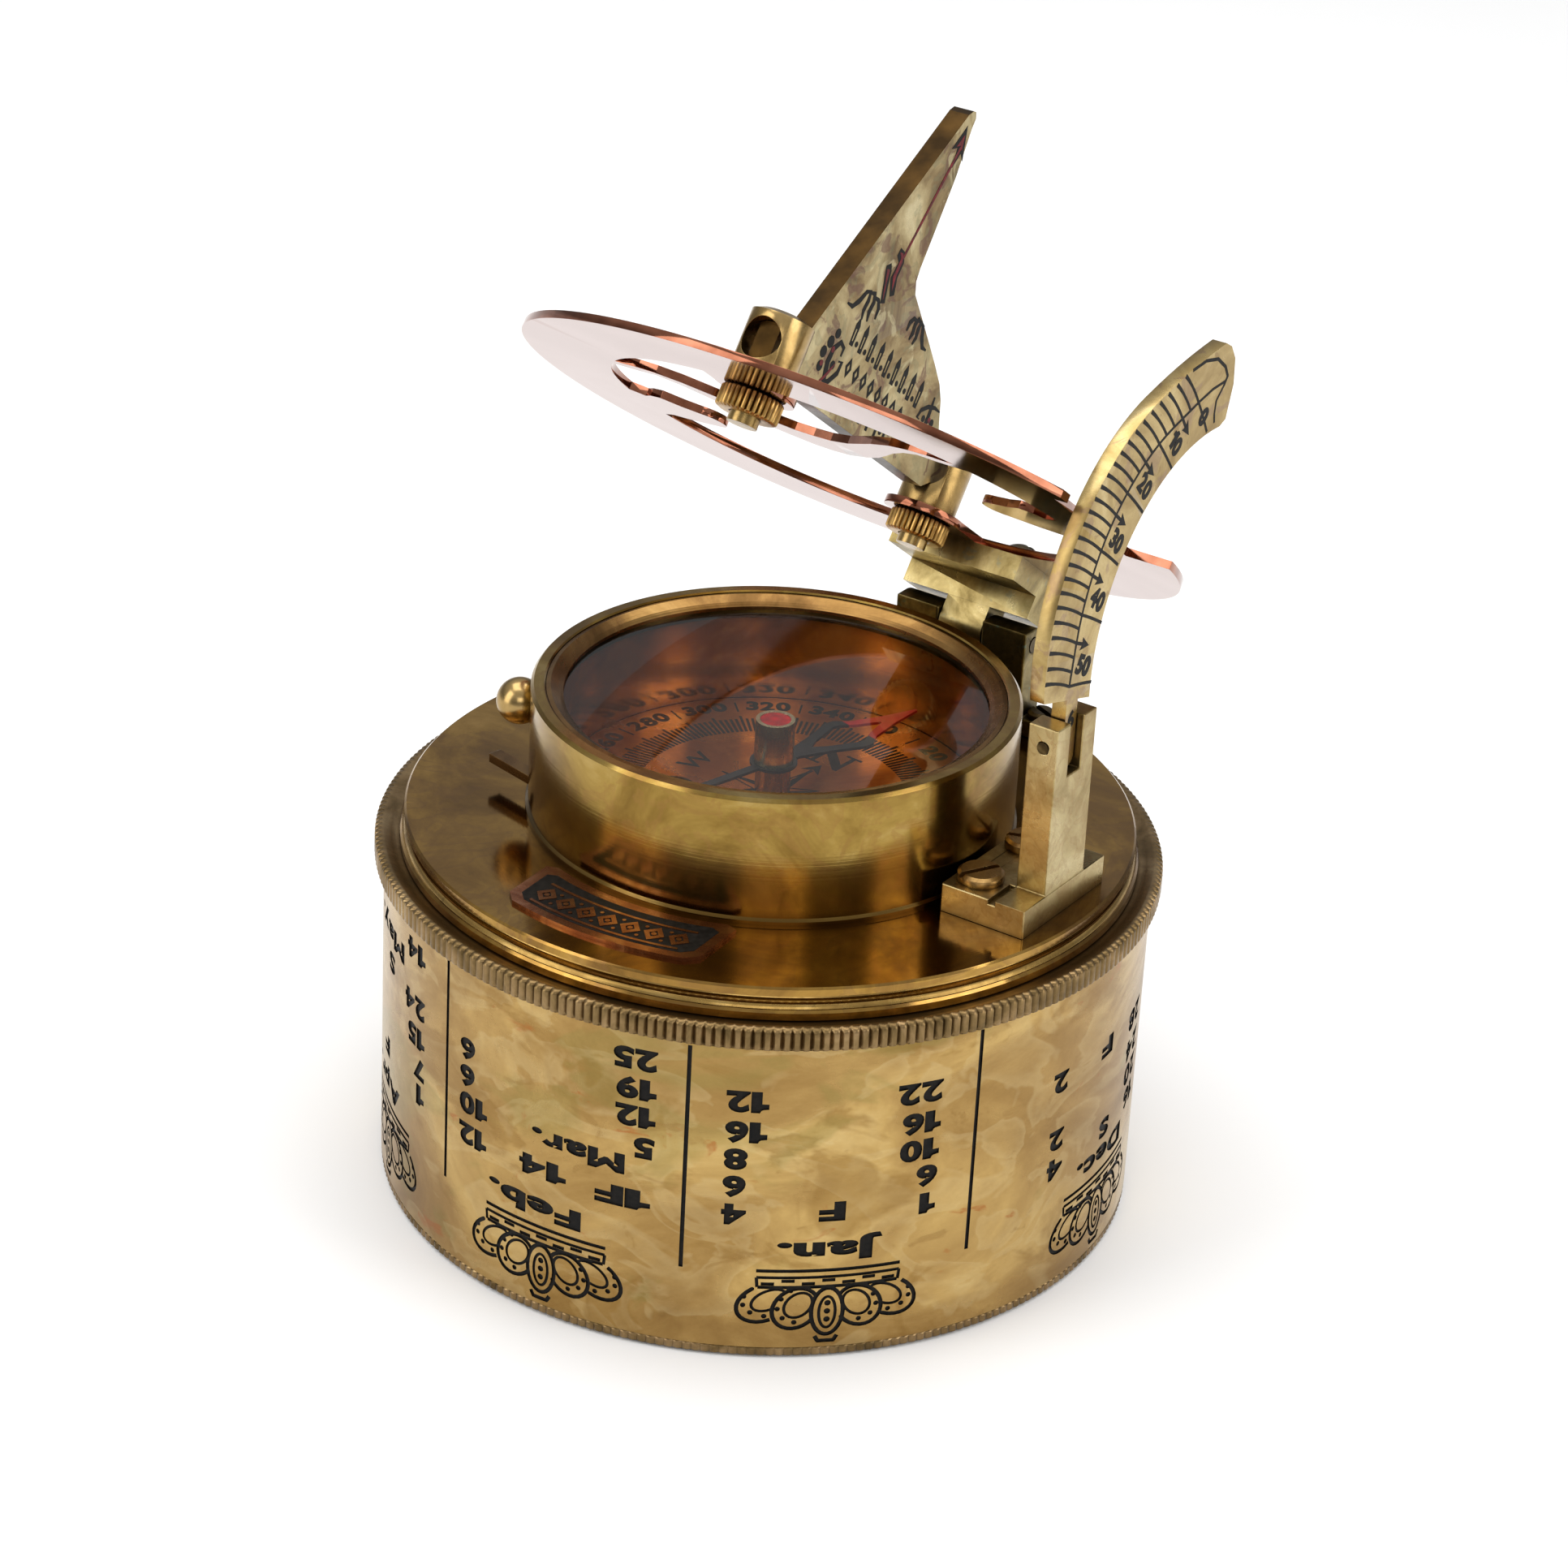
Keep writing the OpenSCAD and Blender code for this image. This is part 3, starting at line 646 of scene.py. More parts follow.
def edge_dark(N, links, tc, mix, colour, axis, dark, light):
    """The narrow sides of a flat part, which look away from axis, are browner than its faces."""
    dot = N("ShaderNodeVectorMath", operation="DOT_PRODUCT")
    dot.inputs[1].default_value = axis
    links.new(tc.outputs["Normal"], dot.inputs[0])
    ab = N("ShaderNodeMath", operation="ABSOLUTE")
    links.new(dot.outputs["Value"], ab.inputs[0])
    face = N("ShaderNodeMath", operation="GREATER_THAN")
    face.inputs[1].default_value = 0.5
    links.new(ab.outputs[0], face.inputs[0])
    n = N("ShaderNodeTexNoise")
    n.inputs["Scale"].default_value = 300
    n.inputs["Detail"].default_value = 5
    links.new(tc.outputs["Object"], n.inputs["Vector"])
    r = N("ShaderNodeValToRGB")
    r.color_ramp.elements[0].position, r.color_ramp.elements[0].color = 0.35, rgb(dark)
    r.color_ramp.elements[1].position, r.color_ramp.elements[1].color = 0.68, rgb(light)
    links.new(n.outputs[0], r.inputs[0])
    return mix(r.outputs[0], colour, face.outputs[0])


gnomon_brass = metal("gnomon_brass", ["6b5537", "86704a", "9d895f", "b3a176", "c6b78e"], (0.34, 0.42, 0.5, 0.6, 0.72), size=9,
                     warp=1.0, rough=(0.26, 0.42), bump=0.10, fine=0.16, spots=0.0, grime_and_shade=0.4,
                     grime_and_shade_size=0.8, fields=("76785a", 0.35), stains=(("6b4c3c", 2.6, 0.56, 0.8), ("c9bc92", 3.4, 0.6, 0.6)),
                     shade=lambda N, links, tc, mix, colour: edge_dark(N, links, tc, mix, colour, (UX, UY, 0.0), "2c1f0e", "4a3518"))
PLATE_N = (VX * math.sin(TILT), VY * math.sin(TILT), math.cos(TILT))


def by_side(under, over, edge_tones):
    """Colour by which way the plate's face looks: underside, top, or cut edge."""
    def fn(N, links, tc, mix, colour):
        dot = N("ShaderNodeVectorMath", operation="DOT_PRODUCT")
        dot.inputs[1].default_value = PLATE_N
        links.new(tc.outputs["Normal"], dot.inputs[0])
        up = N("ShaderNodeMath", operation="GREATER_THAN")
        up.inputs[1].default_value = 0.9
        links.new(dot.outputs["Value"], up.inputs[0])
        dn = N("ShaderNodeMath", operation="LESS_THAN")
        dn.inputs[1].default_value = -0.9
        links.new(dot.outputs["Value"], dn.inputs[0])
        n = N("ShaderNodeTexNoise")
        n.inputs["Scale"].default_value = 260
        n.inputs["Detail"].default_value = 5
        links.new(tc.outputs["Object"], n.inputs["Vector"])
        r = N("ShaderNodeValToRGB")
        r.color_ramp.elements[0].position, r.color_ramp.elements[0].color = 0.38, rgb(edge_tones[0])
        r.color_ramp.elements[1].position, r.color_ramp.elements[1].color = 0.62, rgb(edge_tones[1])
        links.new(n.outputs[0], r.inputs[0])
        c = mix(r.outputs[0], colour, dn.outputs[0])
        tint = mix(colour, rgb(over), 0.75, "MIX")
        return mix(c, tint, up.outputs[0])
    return fn


copper_polish = metal("copper_polished", ["a0827a", "a98c84", "b0958e"], size=24, rough=(0.06, 0.11), bump=0.012, fine=0.03,
                      shade=by_side("a98c84", "c4836a", ("7d4c38", "a26a52")))
copper_top = metal("copper_top", ["b5714f", "c98a68", "d8a184"], size=12, rough=(0.16, 0.26), bump=0.05, fine=0.12)
copper_edge = metal("copper_edge", ["94552f", "b97148", "d09068"], size=3, rough=(0.14, 0.26), bump=0.08, fine=0.2, spots=0.4,
                    spot_tone="6a4030")
copper_dial = metal("copper_dial", ["b0602c", "c97436", "e08a4a", "eda066"], size=9, warp=1.2, rough=(0.24, 0.36), bump=0.05,
                    fine=0.12, brushed=((1, 1, 1), 0.1))
label_copper = metal("label_copper", ["7a4b36", "9b674d", "bb9075"], size=4, rough=(0.2, 0.32), bump=0.06, fine=0.2)
black_fill = paint("black_fill", ("0d0c0b", "1d1a17"), rough=0.5)
engrave_fill = paint("engrave_fill", ("151210", "2b241c"), rough=0.45)
needle_black = paint("needle_black", ("08080a", "141416"), rough=0.3)
red_enamel = paint("red_enamel", ("7d0d10", "a5161a"), rough=0.25, spec=0.5)
dark_red = paint("dark_red_fill", ("4a0f14", "7a2026"), rough=0.4)
soot = paint("dial_ink", ("16100c", "2c1c14"), rough=0.5)


def jewel_material():
    m, nodes, links = material("jewel_red")
    out = nodes.new("ShaderNodeOutputMaterial")
    b = nodes.new("ShaderNodeBsdfPrincipled")
    tc = nodes.new("ShaderNodeTexCoord")
    v = nodes.new("ShaderNodeTexVoronoi")
    v.inputs["Scale"].default_value = 1100
    links.new(tc.outputs["Object"], v.inputs["Vector"])
    r = nodes.new("ShaderNodeValToRGB")
    r.color_ramp.elements[0].color = rgb("c40a14")
    r.color_ramp.elements[1].color = rgb("78060c")
    links.new(v.outputs[0], r.inputs[0])
    links.new(r.outputs[0], b.inputs["Base Color"])
    b.inputs["Roughness"].default_value = 0.3
    b.inputs["Specular IOR Level"].default_value = 0.25
    bp = nodes.new("ShaderNodeBump")
    bp.inputs["Strength"].default_value = 0.4
    bp.inputs["Distance"].default_value = 0.0001
    links.new(v.outputs[0], bp.inputs["Height"])
    links.new(bp.outputs[0], b.inputs["Normal"])
    links.new(b.outputs[0], out.inputs[0])
    return m


def glass_material():
    m, nodes, links = material("glass_clear")
    out = nodes.new("ShaderNodeOutputMaterial")
    mixn = nodes.new("ShaderNodeMixShader")
    tr = nodes.new("ShaderNodeBsdfTransparent")
    tr.inputs[0].default_value = (0.95, 0.96, 0.95, 1)
    gl = nodes.new("ShaderNodeBsdfGlossy")
    fr = nodes.new("ShaderNodeFresnel")
    fr.inputs["IOR"].default_value = 1.5
    geo = nodes.new("ShaderNodeNewGeometry")
    front = nodes.new("ShaderNodeMath")
    front.operation = "SUBTRACT"
    front.inputs[0].default_value = 1.0
    links.new(geo.outputs["Backfacing"], front.inputs[1])
    fac = nodes.new("ShaderNodeMath")
    fac.operation = "MULTIPLY"
    links.new(fr.outputs[0], fac.inputs[0])
    links.new(front.outputs[0], fac.inputs[1])
    tc = nodes.new("ShaderNodeTexCoord")
    n = nodes.new("ShaderNodeTexNoise")
    n.inputs["Scale"].default_value = 260
    n.inputs["Detail"].default_value = 6
    links.new(tc.outputs["Object"], n.inputs["Vector"])
    mr = nodes.new("ShaderNodeMapRange")
    mr.inputs["To Min"].default_value = 0.01
    mr.inputs["To Max"].default_value = 0.06
    links.new(n.outputs[0], mr.inputs[0])
    links.new(mr.outputs[0], gl.inputs["Roughness"])
    links.new(fac.outputs[0], mixn.inputs[0])
    links.new(tr.outputs[0], mixn.inputs[1])
    links.new(gl.outputs[0], mixn.inputs[2])
    links.new(mixn.outputs[0], out.inputs[0])
    return m


jewel_red = jewel_material()
glass_clear = glass_material()


def needle_material():
    """Black blued needle whose point is red, by distance from the pivot along the needle."""
    m, nodes, links = material("needle_two_tone")
    out = nodes.new("ShaderNodeOutputMaterial")
    b = nodes.new("ShaderNodeBsdfPrincipled")
    links.new(b.outputs[0], out.inputs[0])
    tc = nodes.new("ShaderNodeTexCoord")
    dot = nodes.new("ShaderNodeVectorMath")
    dot.operation = "DOT_PRODUCT"
    a = math.radians(42.8)
    dot.inputs[1].default_value = (math.cos(a), math.sin(a), 0)
    links.new(tc.outputs["Object"], dot.inputs[0])
    st = nodes.new("ShaderNodeMath")
    st.operation = "GREATER_THAN"
    st.inputs[1].default_value = 0.011
    links.new(dot.outputs["Value"], st.inputs[0])
    n = nodes.new("ShaderNodeTexNoise")
    n.inputs["Scale"].default_value = 900
    links.new(tc.outputs["Object"], n.inputs["Vector"])
    r1 = nodes.new("ShaderNodeValToRGB")
    r1.color_ramp.elements[0].color, r1.color_ramp.elements[1].color = rgb("08080a"), rgb("1c1c20")
    r2 = nodes.new("ShaderNodeValToRGB")
    r2.color_ramp.elements[0].color, r2.color_ramp.elements[1].color = rgb("7c0a0c"), rgb("b3191a")
    links.new(n.outputs[0], r1.inputs[0])
    links.new(n.outputs[0], r2.inputs[0])
    mx = nodes.new("ShaderNodeMix")
    mx.data_type = "RGBA"
    links.new(st.outputs[0], mx.inputs[0])
    links.new(r1.outputs[0], mx.inputs[6])
    links.new(r2.outputs[0], mx.inputs[7])
    links.new(mx.outputs[2], b.inputs["Base Color"])
    mr = nodes.new("ShaderNodeMapRange")
    mr.inputs["To Min"].default_value = 0.22
    mr.inputs["To Max"].default_value = 0.45
    links.new(n.outputs[0], mr.inputs[0])
    links.new(mr.outputs[0], b.inputs["Roughness"])
    return m


# ------------------------------------------------------------------ CAD nodes: finish and edges

def finish(node, mat, bevel=0.0, segments=2, angle=35, smooth=None):
    ob = NODES[node]
    mats = mat if isinstance(mat, (list, tuple)) else [mat]
    ob.data.materials.clear()
    for x in mats:
        ob.data.materials.append(x)
    if bevel:
        w = ob.modifiers.new("Weld", "WELD")
        w.merge_threshold = 1e-6
        b = ob.modifiers.new("Bevel", "BEVEL")
        b.width = bevel * MM
        b.segments = segments
        b.limit_method = "ANGLE"
        b.angle_limit = math.radians(angle)
        b.harden_normals = False
        b.use_clamp_overlap = True
    return ob


finish("base_disc", disc_brass)
finish("compass_case", case_brass)
finish("dial_card", copper_dial)
finish("dial_rivet", dark_steel)
finish("needle_pivot", post_brass)
finish("case_glass", glass_clear)
finish("retaining_ring", ring_brass)
finish("ball_knob", post_brass)
finish("arc_bracket", bracket_brass, 0.18)
finish("bracket_screw_a", screw_brass, 0.08)
finish("bracket_screw_b", screw_brass, 0.08)
finish("arc_pin", dark_steel)
finish("hinge_base", hinge_brass, 0.18)
finish("hinge_screw_a", dark_steel, 0.06)
finish("hinge_screw_b", dark_steel, 0.06)
finish("hinge_pin", dark_steel)
for s in "abc":
    finish("case_screw_" + s, dark_steel)
finish("hinge_block", block_brass, 0.22)
finish("plate_screw_a", dark_steel, 0.05)
finish("plate_screw_b", dark_steel, 0.05)
finish("gnomon_post_upper", post_brass, 0.08)
finish("gnomon_post_lower", post_brass, 0.08)
finish("gnomon", gnomon_brass, 0.14)
finish("latitude_arc", arc_brass, 0.12)
finish("needle", needle_material())
finish("needle_cap", cap_brass, 0.06)
finish("cap_jewel", jewel_red)
finish("lift_ring", post_brass)
finish("lock_lever", ring_brass, 0.08)
finish("hour_plate", copper_polish, 0.10)

# ------------------------------------------------------------------ calendar cup

R = 37.08
CIRC = 2 * math.pi * R
TEETH = 268


def knurl(tag, k):
    if tag == "tooth":
        return (0.0, -0.04, -0.30, -0.04)[k % 4]
    if tag == "fine":
        return (0.0, -0.03, -0.14, -0.03)[k % 4]
    return 0.0


core = R - 0.24
lathe("calendar_cup_body", [
    (0, 0, ""), (R - 0.5, 0, ""), (R - 0.12, 0.22, "fine"), (R - 0.02, 0.36, "fine"), (R - 0.02, 0.98, "fine"), (R - 0.14, 1.12, "fine"),
    (R - 0.24, 1.18, ""), (core, 1.22, ""), (core, 33.0, ""), (R - 0.1, 33.12, ""), (37.62, 33.32, "tooth"), (37.92, 33.5, "tooth"), (38.0, 33.7, "tooth"),
    (38.0, 35.3, "tooth"), (37.9, 35.5, "tooth"), (37.62, 35.66, "tooth"), (37.3, 35.7, ""), (37.0, 35.62, ""), (36.4, 35.38, ""), (35.9, 35.22, ""),
    (34.95, 35.2, ""), (34.9, 35.1, ""), (34.9, 2.8, ""), (34.6, 2.1, ""), (33.9, 1.8, ""), (0, 1.8, "")],
    TEETH * 4, [knurl_brass], "cup", knurl, smooth=35, replaces=("calendar_cup",), slot="brass_cup")


# softer beads in the turned grooves of the disc's edge
DR, DZ = 35.19, 38.44
lathe("disc_edge_bead_upper", [(DR - 0.7, DZ - 0.9, ""), (DR - 0.3, DZ - 0.94, ""), (DR - 0.2, DZ - 1.1, ""), (DR - 0.3, DZ - 1.26, ""), (DR - 0.7, DZ - 1.3, "")][::-1],
      360, [rim_brass], "base", slot="brass_plain")
lathe("disc_edge_bead_lower", [(DR - 0.7, DZ - 1.62, ""), (DR - 0.34, DZ - 1.64, ""), (DR - 0.12, DZ - 1.78, ""), (DR + 0.02, DZ - 1.95, ""), (DR + 0.1, DZ - 2.12, ""), (DR - 0.7, DZ - 2.12, "")][::-1],
      360, [rim_brass], "base", slot="brass_plain")


def ellipse(c, rx, ry, tilt, n=26):
    t = math.radians(tilt)
    return [(c[0] + rx * math.cos(q) * math.cos(t) - ry * math.sin(q) * math.sin(t),
             c[1] + rx * math.cos(q) * math.sin(t) + ry * math.sin(q) * math.cos(t)) for q in (2 * math.pi * k / n for k in range(n))]


def fan(cx, base_y):
    """Generic shell ornament: beaded lobes spreading from a course of bricks."""
    g = []
    at = lambda p: (cx + p[0], base_y + p[1])

    def line(points, w, closed=False, hide=()):
        pts = [at(p) for p in points]
        n = len(pts)
        for i in range(n if closed else n - 1):
            p, q = points[i], points[(i + 1) % n]
            mid = ((p[0] + q[0]) / 2, (p[1] + q[1]) / 2)
            if mid[1] < 1.9 or any(inside(mid, h) for h in hide):
                continue
            g.extend(stroke([pts[i], pts[(i + 1) % n]], w))
            g.append([disc(pts[i], w / 2, 8)])

    g += stroke([at((-6.8, 0.0)), at((6.8, 0.0))], 0.36)
    g += stroke([at((-6.75, 0.72)), at((6.75, 0.72))], 0.32)
    g += stroke([at((-6.6, 1.78)), at((6.6, 1.78))], 0.36)
    for e in (-6.75, 6.75):
        g += stroke([at((e, 0.72)), at((e * 0.985, 1.78))], 0.32)
    for k in range(7):
        x = -5.7 + 1.9 * k
        g += stroke([at((x - 0.62, 1.25 + 0.16 * (-1) ** k)), at((x + 0.62, 1.25 + 0.16 * (-1) ** k))], 0.36)
    front = ellipse((0, 4.5), 1.5, 2.55, 0)
    second = [ellipse((s * 3.0, 4.1), 2.35, 2.0, s * 48) for s in (-1, 1)]
    third = [ellipse((s * 5.9, 3.5), 2.75, 1.9, s * 28) for s in (-1, 1)]
    line(front, 0.42, True)
    line(ellipse((0, 4.6), 0.78, 1.7, 0), 0.3, True)
    for y in (3.6, 4.5, 5.4):
        g.append([disc(at((0, y)), 0.32, 9)])
    for s, e in zip((-1, 1), second):
        line(e, 0.42, True, (front,))
        line(ellipse((s * 2.75, 3.75), 1.5, 1.15, s * 48), 0.3, True, (front,))
        for q in (-35, 5, 45, 85):
            t = math.radians(q)
            g.append([disc(at((s * (2.9 + 1.78 * math.cos(t)), 4.0 + 1.62 * math.sin(t))), 0.27, 8)])
    for s, e, b2 in zip((-1, 1), third, second):
        line(e, 0.42, True, (front, b2))
        line(ellipse((s * 5.5, 3.2), 1.75, 1.0, s * 28), 0.3, True, (front, b2))
        for q in (-20, 15, 50, 88):
            t = math.radians(q)
            g.append([disc(at((s * (5.8 + 2.15 * math.cos(t)), 3.4 + 1.55 * math.sin(t))), 0.27, 8)])
    g += stroke([at((-1.05, 7.2)), at((-0.75, 7.75)), at((0.75, 7.75)), at((1.05, 7.2))], 0.42)
    return g


BOLD = 0.056


def num(text, right=None, left=None, y=0.0, cap=2.25):
    """A number right or left aligned; x runs to the reader's right."""
    b = line_of(text, BOLD)[1]
    w = (b[2] - b[0]) * cap / CAP_H * 1.22
    x0 = left if left is not None else right - w
    return words(text, x0, x0 + w, y, cap, BOLD)


cup_marks = []
# x grows against the azimuth, y is minus the height: the lid reads when it is turned over
ROWS = [-16.7, -19.7, -22.6, -25.5, -28.7]
for x in (36.7, 64.3, 91.4, 118.9, 146.4, 173.9, 201.4, 228.9):
    cup_marks += [[[(x - 0.2, -32.9), (x + 0.2, -32.9), (x + 0.2, -9.3), (x - 0.2, -9.3)]]]

# January
cup_marks += fan(50.5, -9.6)
cup_marks += words("Jan.", 45.6, 55.5, -12.7, 2.15, BOLD)
cup_marks += words("F", 49.3, 51.8, -17.0, 2.1, BOLD)
for t, y in zip(("1", "6", "10", "16", "22"), ROWS):
    cup_marks += num(t, left=40.5, y=y)
for t, y in zip(("4", "6", "8", "16", "12"), ROWS):
    cup_marks += num(t, right=60.8, y=y)
# February and March
cup_marks += fan(78.4, -9.6)
cup_marks += words("Feb.", 74.2, 84.9, -12.7, 2.15, BOLD)
cup_marks += words("1F", 67.4, 72.9, -16.7, 2.15, BOLD)
cup_marks += words("14", 75.9, 81.2, -17.0, 2.15, BOLD)
cup_marks += words("Mar.", 70.0, 79.8, -20.2, 2.15, BOLD)
for t, y in zip(("5", "12", "19", "25"), (-22.4, -25.6, -28.5, -31.6)):
    cup_marks += num(t, left=67.2, y=y)
for t, y in zip(("12", "10", "6", "6"), (-16.8, -20.1, -23.0, -25.9)):
    cup_marks += num(t, right=89.3, y=y)
# December
cup_marks += fan(17.0, -9.6)
cup_marks += words("Dec.", 11.6, 21.9, -12.5, 2.15, BOLD)
cup_marks += words("S", 15.6, 17.9, -15.4, 2.1, BOLD)
cup_marks += words("F", 16.4, 18.8, -24.8, 2.1, BOLD)
for t, y in zip(("16", "20", "24", "28"), (-15.2, -18.1, -20.9, -24.2)):
    cup_marks += num(t, left=7.2, y=y)
for t, y in zip(("4", "2", "2"), (-15.2, -18.4, -24.7)):
    cup_marks += num(t, right=27.0, y=y)
# April and May
cup_marks += fan(105.6, -9.6)
cup_marks += words("Apr.", 101.6, 111.2, -12.7, 2.15, BOLD)
cup_marks += words("F", 105.4, 107.8, -16.6, 2.1, BOLD)
for t, y in zip(("1", "7", "15", "24"), (-16.6, -19.4, -22.6, -25.9)):
    cup_marks += num(t, left=95.6, y=y)
cup_marks += words("S", 103.6, 105.9, -26.6, 2.1, BOLD)
cup_marks += words("May.", 100.6, 110.4, -29.6, 2.15, BOLD)
cup_marks += num("14", left=95.6, y=-31.6)
for t, y in zip(("4", "2", "4"), (-17.4, -20.6, -23.9)):
    cup_marks += num(t, right=116.0, y=y)
# the panels behind
BACK = [
    (132.7, "Jun.", "S", ("1", "8", "16", "24"), ("2", "4", "6", "8")),
    (160.2, "Jul.", "S", ("5", "12", "19", "26"), ("4", "5", "6", "6")),
    (187.7, "Aug.", "S", ("2", "9", "16", "23"), ("6", "5", "4", "2")),
    (215.2, "Sep.", "F", ("1", "8", "14", "22"), ("1", "2", "4", "7")),
]
for cx, month, word, left, right in BACK:
    cup_marks += fan(cx, -9.6)
    cup_marks += words(month, cx - 4.9, cx + 4.9, -12.7, 2.15, BOLD)
    cup_marks += words(word, cx - 1.2, cx + 1.2, -16.9, 2.1, BOLD)
    for t, y in zip(left, (-17.6, -20.8, -24.0, -27.2)):
        cup_marks += num(t, left=cx - 10.2, y=y)
    for t, y in zip(right, (-17.6, -20.8, -24.0, -27.2)):
        cup_marks += num(t, right=cx + 10.2, y=y)

STEPS = 240
grid = [((CIRC * k / STEPS, -33.3), (CIRC * k / STEPS, -1.0)) for k in range(1, STEPS)]
grid += [((0, -y), (CIRC, -y)) for y in (7.5, 13.5, 19.5, 25.5)]


def on_cup(x, y, h):
    a = -x / R
    return Vector(((R + h) * math.cos(a), (R + h) * math.sin(a), -y))


def cup_wrap(p):
    seam = p[0] < 1e-4 or p[0] > CIRC - 1e-4
    return (0.0 if seam else round(p[0], 6), round(p[1], 6), seam)


wall = engraved("calendar_cup_wall", [(0, -33.08), (CIRC, -33.08), (CIRC, -1.2), (0, -1.2)], cup_marks, grid, on_cup,
                0.16, 0.34, [cup_brass, black_fill], "cup", wrap=cup_wrap, smooth=25, slot="brass_cup")

# ------------------------------------------------------------------ knurled nuts under the plate

def nut(name, at, node, phase):
    teeth, prof = 34, []
    for r, n_, tag in ((1.5, -0.02, ""), (2.7, -0.02, ""), (2.98, -0.16, "t"), (3.05, -0.3, "t"), (3.05, -1.9, "t"), (2.98, -2.05, "t"),
                       (2.6, -2.2, ""), (1.65, -2.2, ""), (1.5, -2.05, "")):
        prof.append((r, n_, tag))
    n = teeth * 4
    verts, faces = [], []
    for r, h, tag in prof:
        for k in range(n):
            a = 2 * math.pi * k / n + phase
            rr = r - ((0.0, 0.05, 0.26, 0.05)[k % 4] if tag else 0)
            verts.append(plate_pt(rr * math.cos(a), at + rr * math.sin(a), h))
    m = len(prof)
    for i in range(m):
        j = (i + 1) % m
        for k in range(n):
            l = (k + 1) % n
            faces.append([i * n + k, j * n + k, j * n + l, i * n + l])
    return new_mesh(name, verts, faces, [nut_brass], "plate", smooth=35, replaces=(node,), slot="brass_plain")


nut("knurled_nut_upper", 20.3, "post_nut_upper", 0.1)
nut("knurled_nut_lower", -17.9, "post_nut_lower", 0.3)

# ------------------------------------------------------------------ latitude arc scale

arc_marks = []
# where each ten-degree line starts at the outer edge, crosses the middle line and ends, in the v-z plane
OUTER = [(16.14, 86.6), (8.82, 84.5), (2.95, 81.2), (-1.4, 76.6), (-4.2, 70.7), (-5.2, 63.4)]
MIDDLE = [(19.05, 83.1), (12.19, 81.2), (6.95, 78.1), (3.0, 73.75), (0.45, 68.3), (-0.8, 61.6)]
INNER = [(21.2, 79.5), (15.0, 77.85), (10.2, 75.1), (6.35, 71.2), (4.2, 66.2), (3.2, 60.6)]


def along(table, m):
    """Point m degrees along a table of points ten degrees apart (Catmull-Rom)."""
    f = max(0.0, min(m / 10.0, len(table) - 1.0))
    i = min(int(f), len(table) - 2)
    t = f - i
    P = [Vector(table[i + k]) if 0 <= i + k < len(table) else None for k in (-1, 0, 1, 2)]
    P[0] = P[0] or P[1] * 2 - P[2]
    P[3] = P[3] or P[2] * 2 - P[1]
    return 0.5 * ((2 * P[1]) + (P[2] - P[0]) * t + (2 * P[0] - 5 * P[1] + 4 * P[2] - P[3]) * t * t + (3 * P[1] - P[0] - 3 * P[2] + P[3]) * t * t * t)


def bowed(a, b, w0, w1, sag=0.16):
    """A cut line from a to b, slightly bowed, wider at its ends."""
    d = (b - a)
    n = Vector((-d.y, d.x)).normalized()
    pts = [tuple(a + d * t + n * sag * 4 * t * (1 - t)) for t in (0, 0.2, 0.4, 0.6, 0.8, 1.0)]
    return [taper(pts, [w0, (w0 + w1) / 2, w1, w1, w1, w1])]


for m in range(0, 51, 2):
    o, c = along(OUTER, m), along(MIDDLE, m)
    arc_marks += bowed(o, c, 0.42, 0.3)
    if m % 10 == 0:
        arc_marks += bowed(c, along(INNER, m), 0.3, 0.3, 0.05)
    if m % 10 == 4:
        d = (along(INNER, m) - c).normalized()
        q = Vector((-d.y, d.x))
        arc_marks += stroke([tuple(c), tuple(c + d * 1.2)], 0.34)
        arc_marks.append([[tuple(c + d * 2.55), tuple(c + d * 1.0 + q * 0.62), tuple(c + d * 1.25), tuple(c + d * 1.0 - q * 0.62)]])
arc_marks += stroke([(24.0, 83.7), (21.6, 83.6)] + [tuple(along(MIDDLE, m)) for m in range(0, 51, 2)], 0.28)
for m, text, at in ((0, "0", (20.3, 81.3)), (10, "10", (15.35, 80.25)), (20, "20", (10.15, 77.7)), (30, "30", (5.75, 73.75)), (40, "40", (3.1, 68.9)), (50, "50", (1.5, 62.9))):
    d = (along(INNER, m) - along(OUTER, m)).normalized()
    turn = math.atan2(d.y, d.x) - math.radians(9 if m else 0)
    g = words_at(text, 0, 0, 1.95, 0.055, 1.0)
    ct, st = math.cos(turn), math.sin(turn)
    arc_marks += moved(g, lambda x, y: (at[0] + ct * x - st * y, at[1] + st * x + ct * y))
# framed field at the tip
LOOP = [(17.4, 86.75), (19.86, 86.95), (22.1, 86.45), (23.7, 85.2), (24.3, 84.1), (23.7, 83.3), (22.5, 82.2), (22.35, 80.9), (22.5, 80.0)]
arc_marks += stroke(LOOP[:6], 0.34)
arc_marks += stroke(LOOP[5:], 0.26)
arc_marks += words_at("6", 0.0, 58.0, 1.7, 0.05)


def on_arc(side):
    u0 = 31.2 + side * 0.75
    return lambda x, y, h: uvz(u0 + side * h, x, y)


# the +u face is seen with v to the right; the other face is its mirror image and stays plain
inlay("arc_scale", arc_marks, on_arc(1), [black_fill], "arc", slot="brass_dark")

# ------------------------------------------------------------------ gnomon engraving

def on_gnomon(x, y, h):
    return plate_pt(1.1 + h, x, y)


def flip(groups):
    return groups


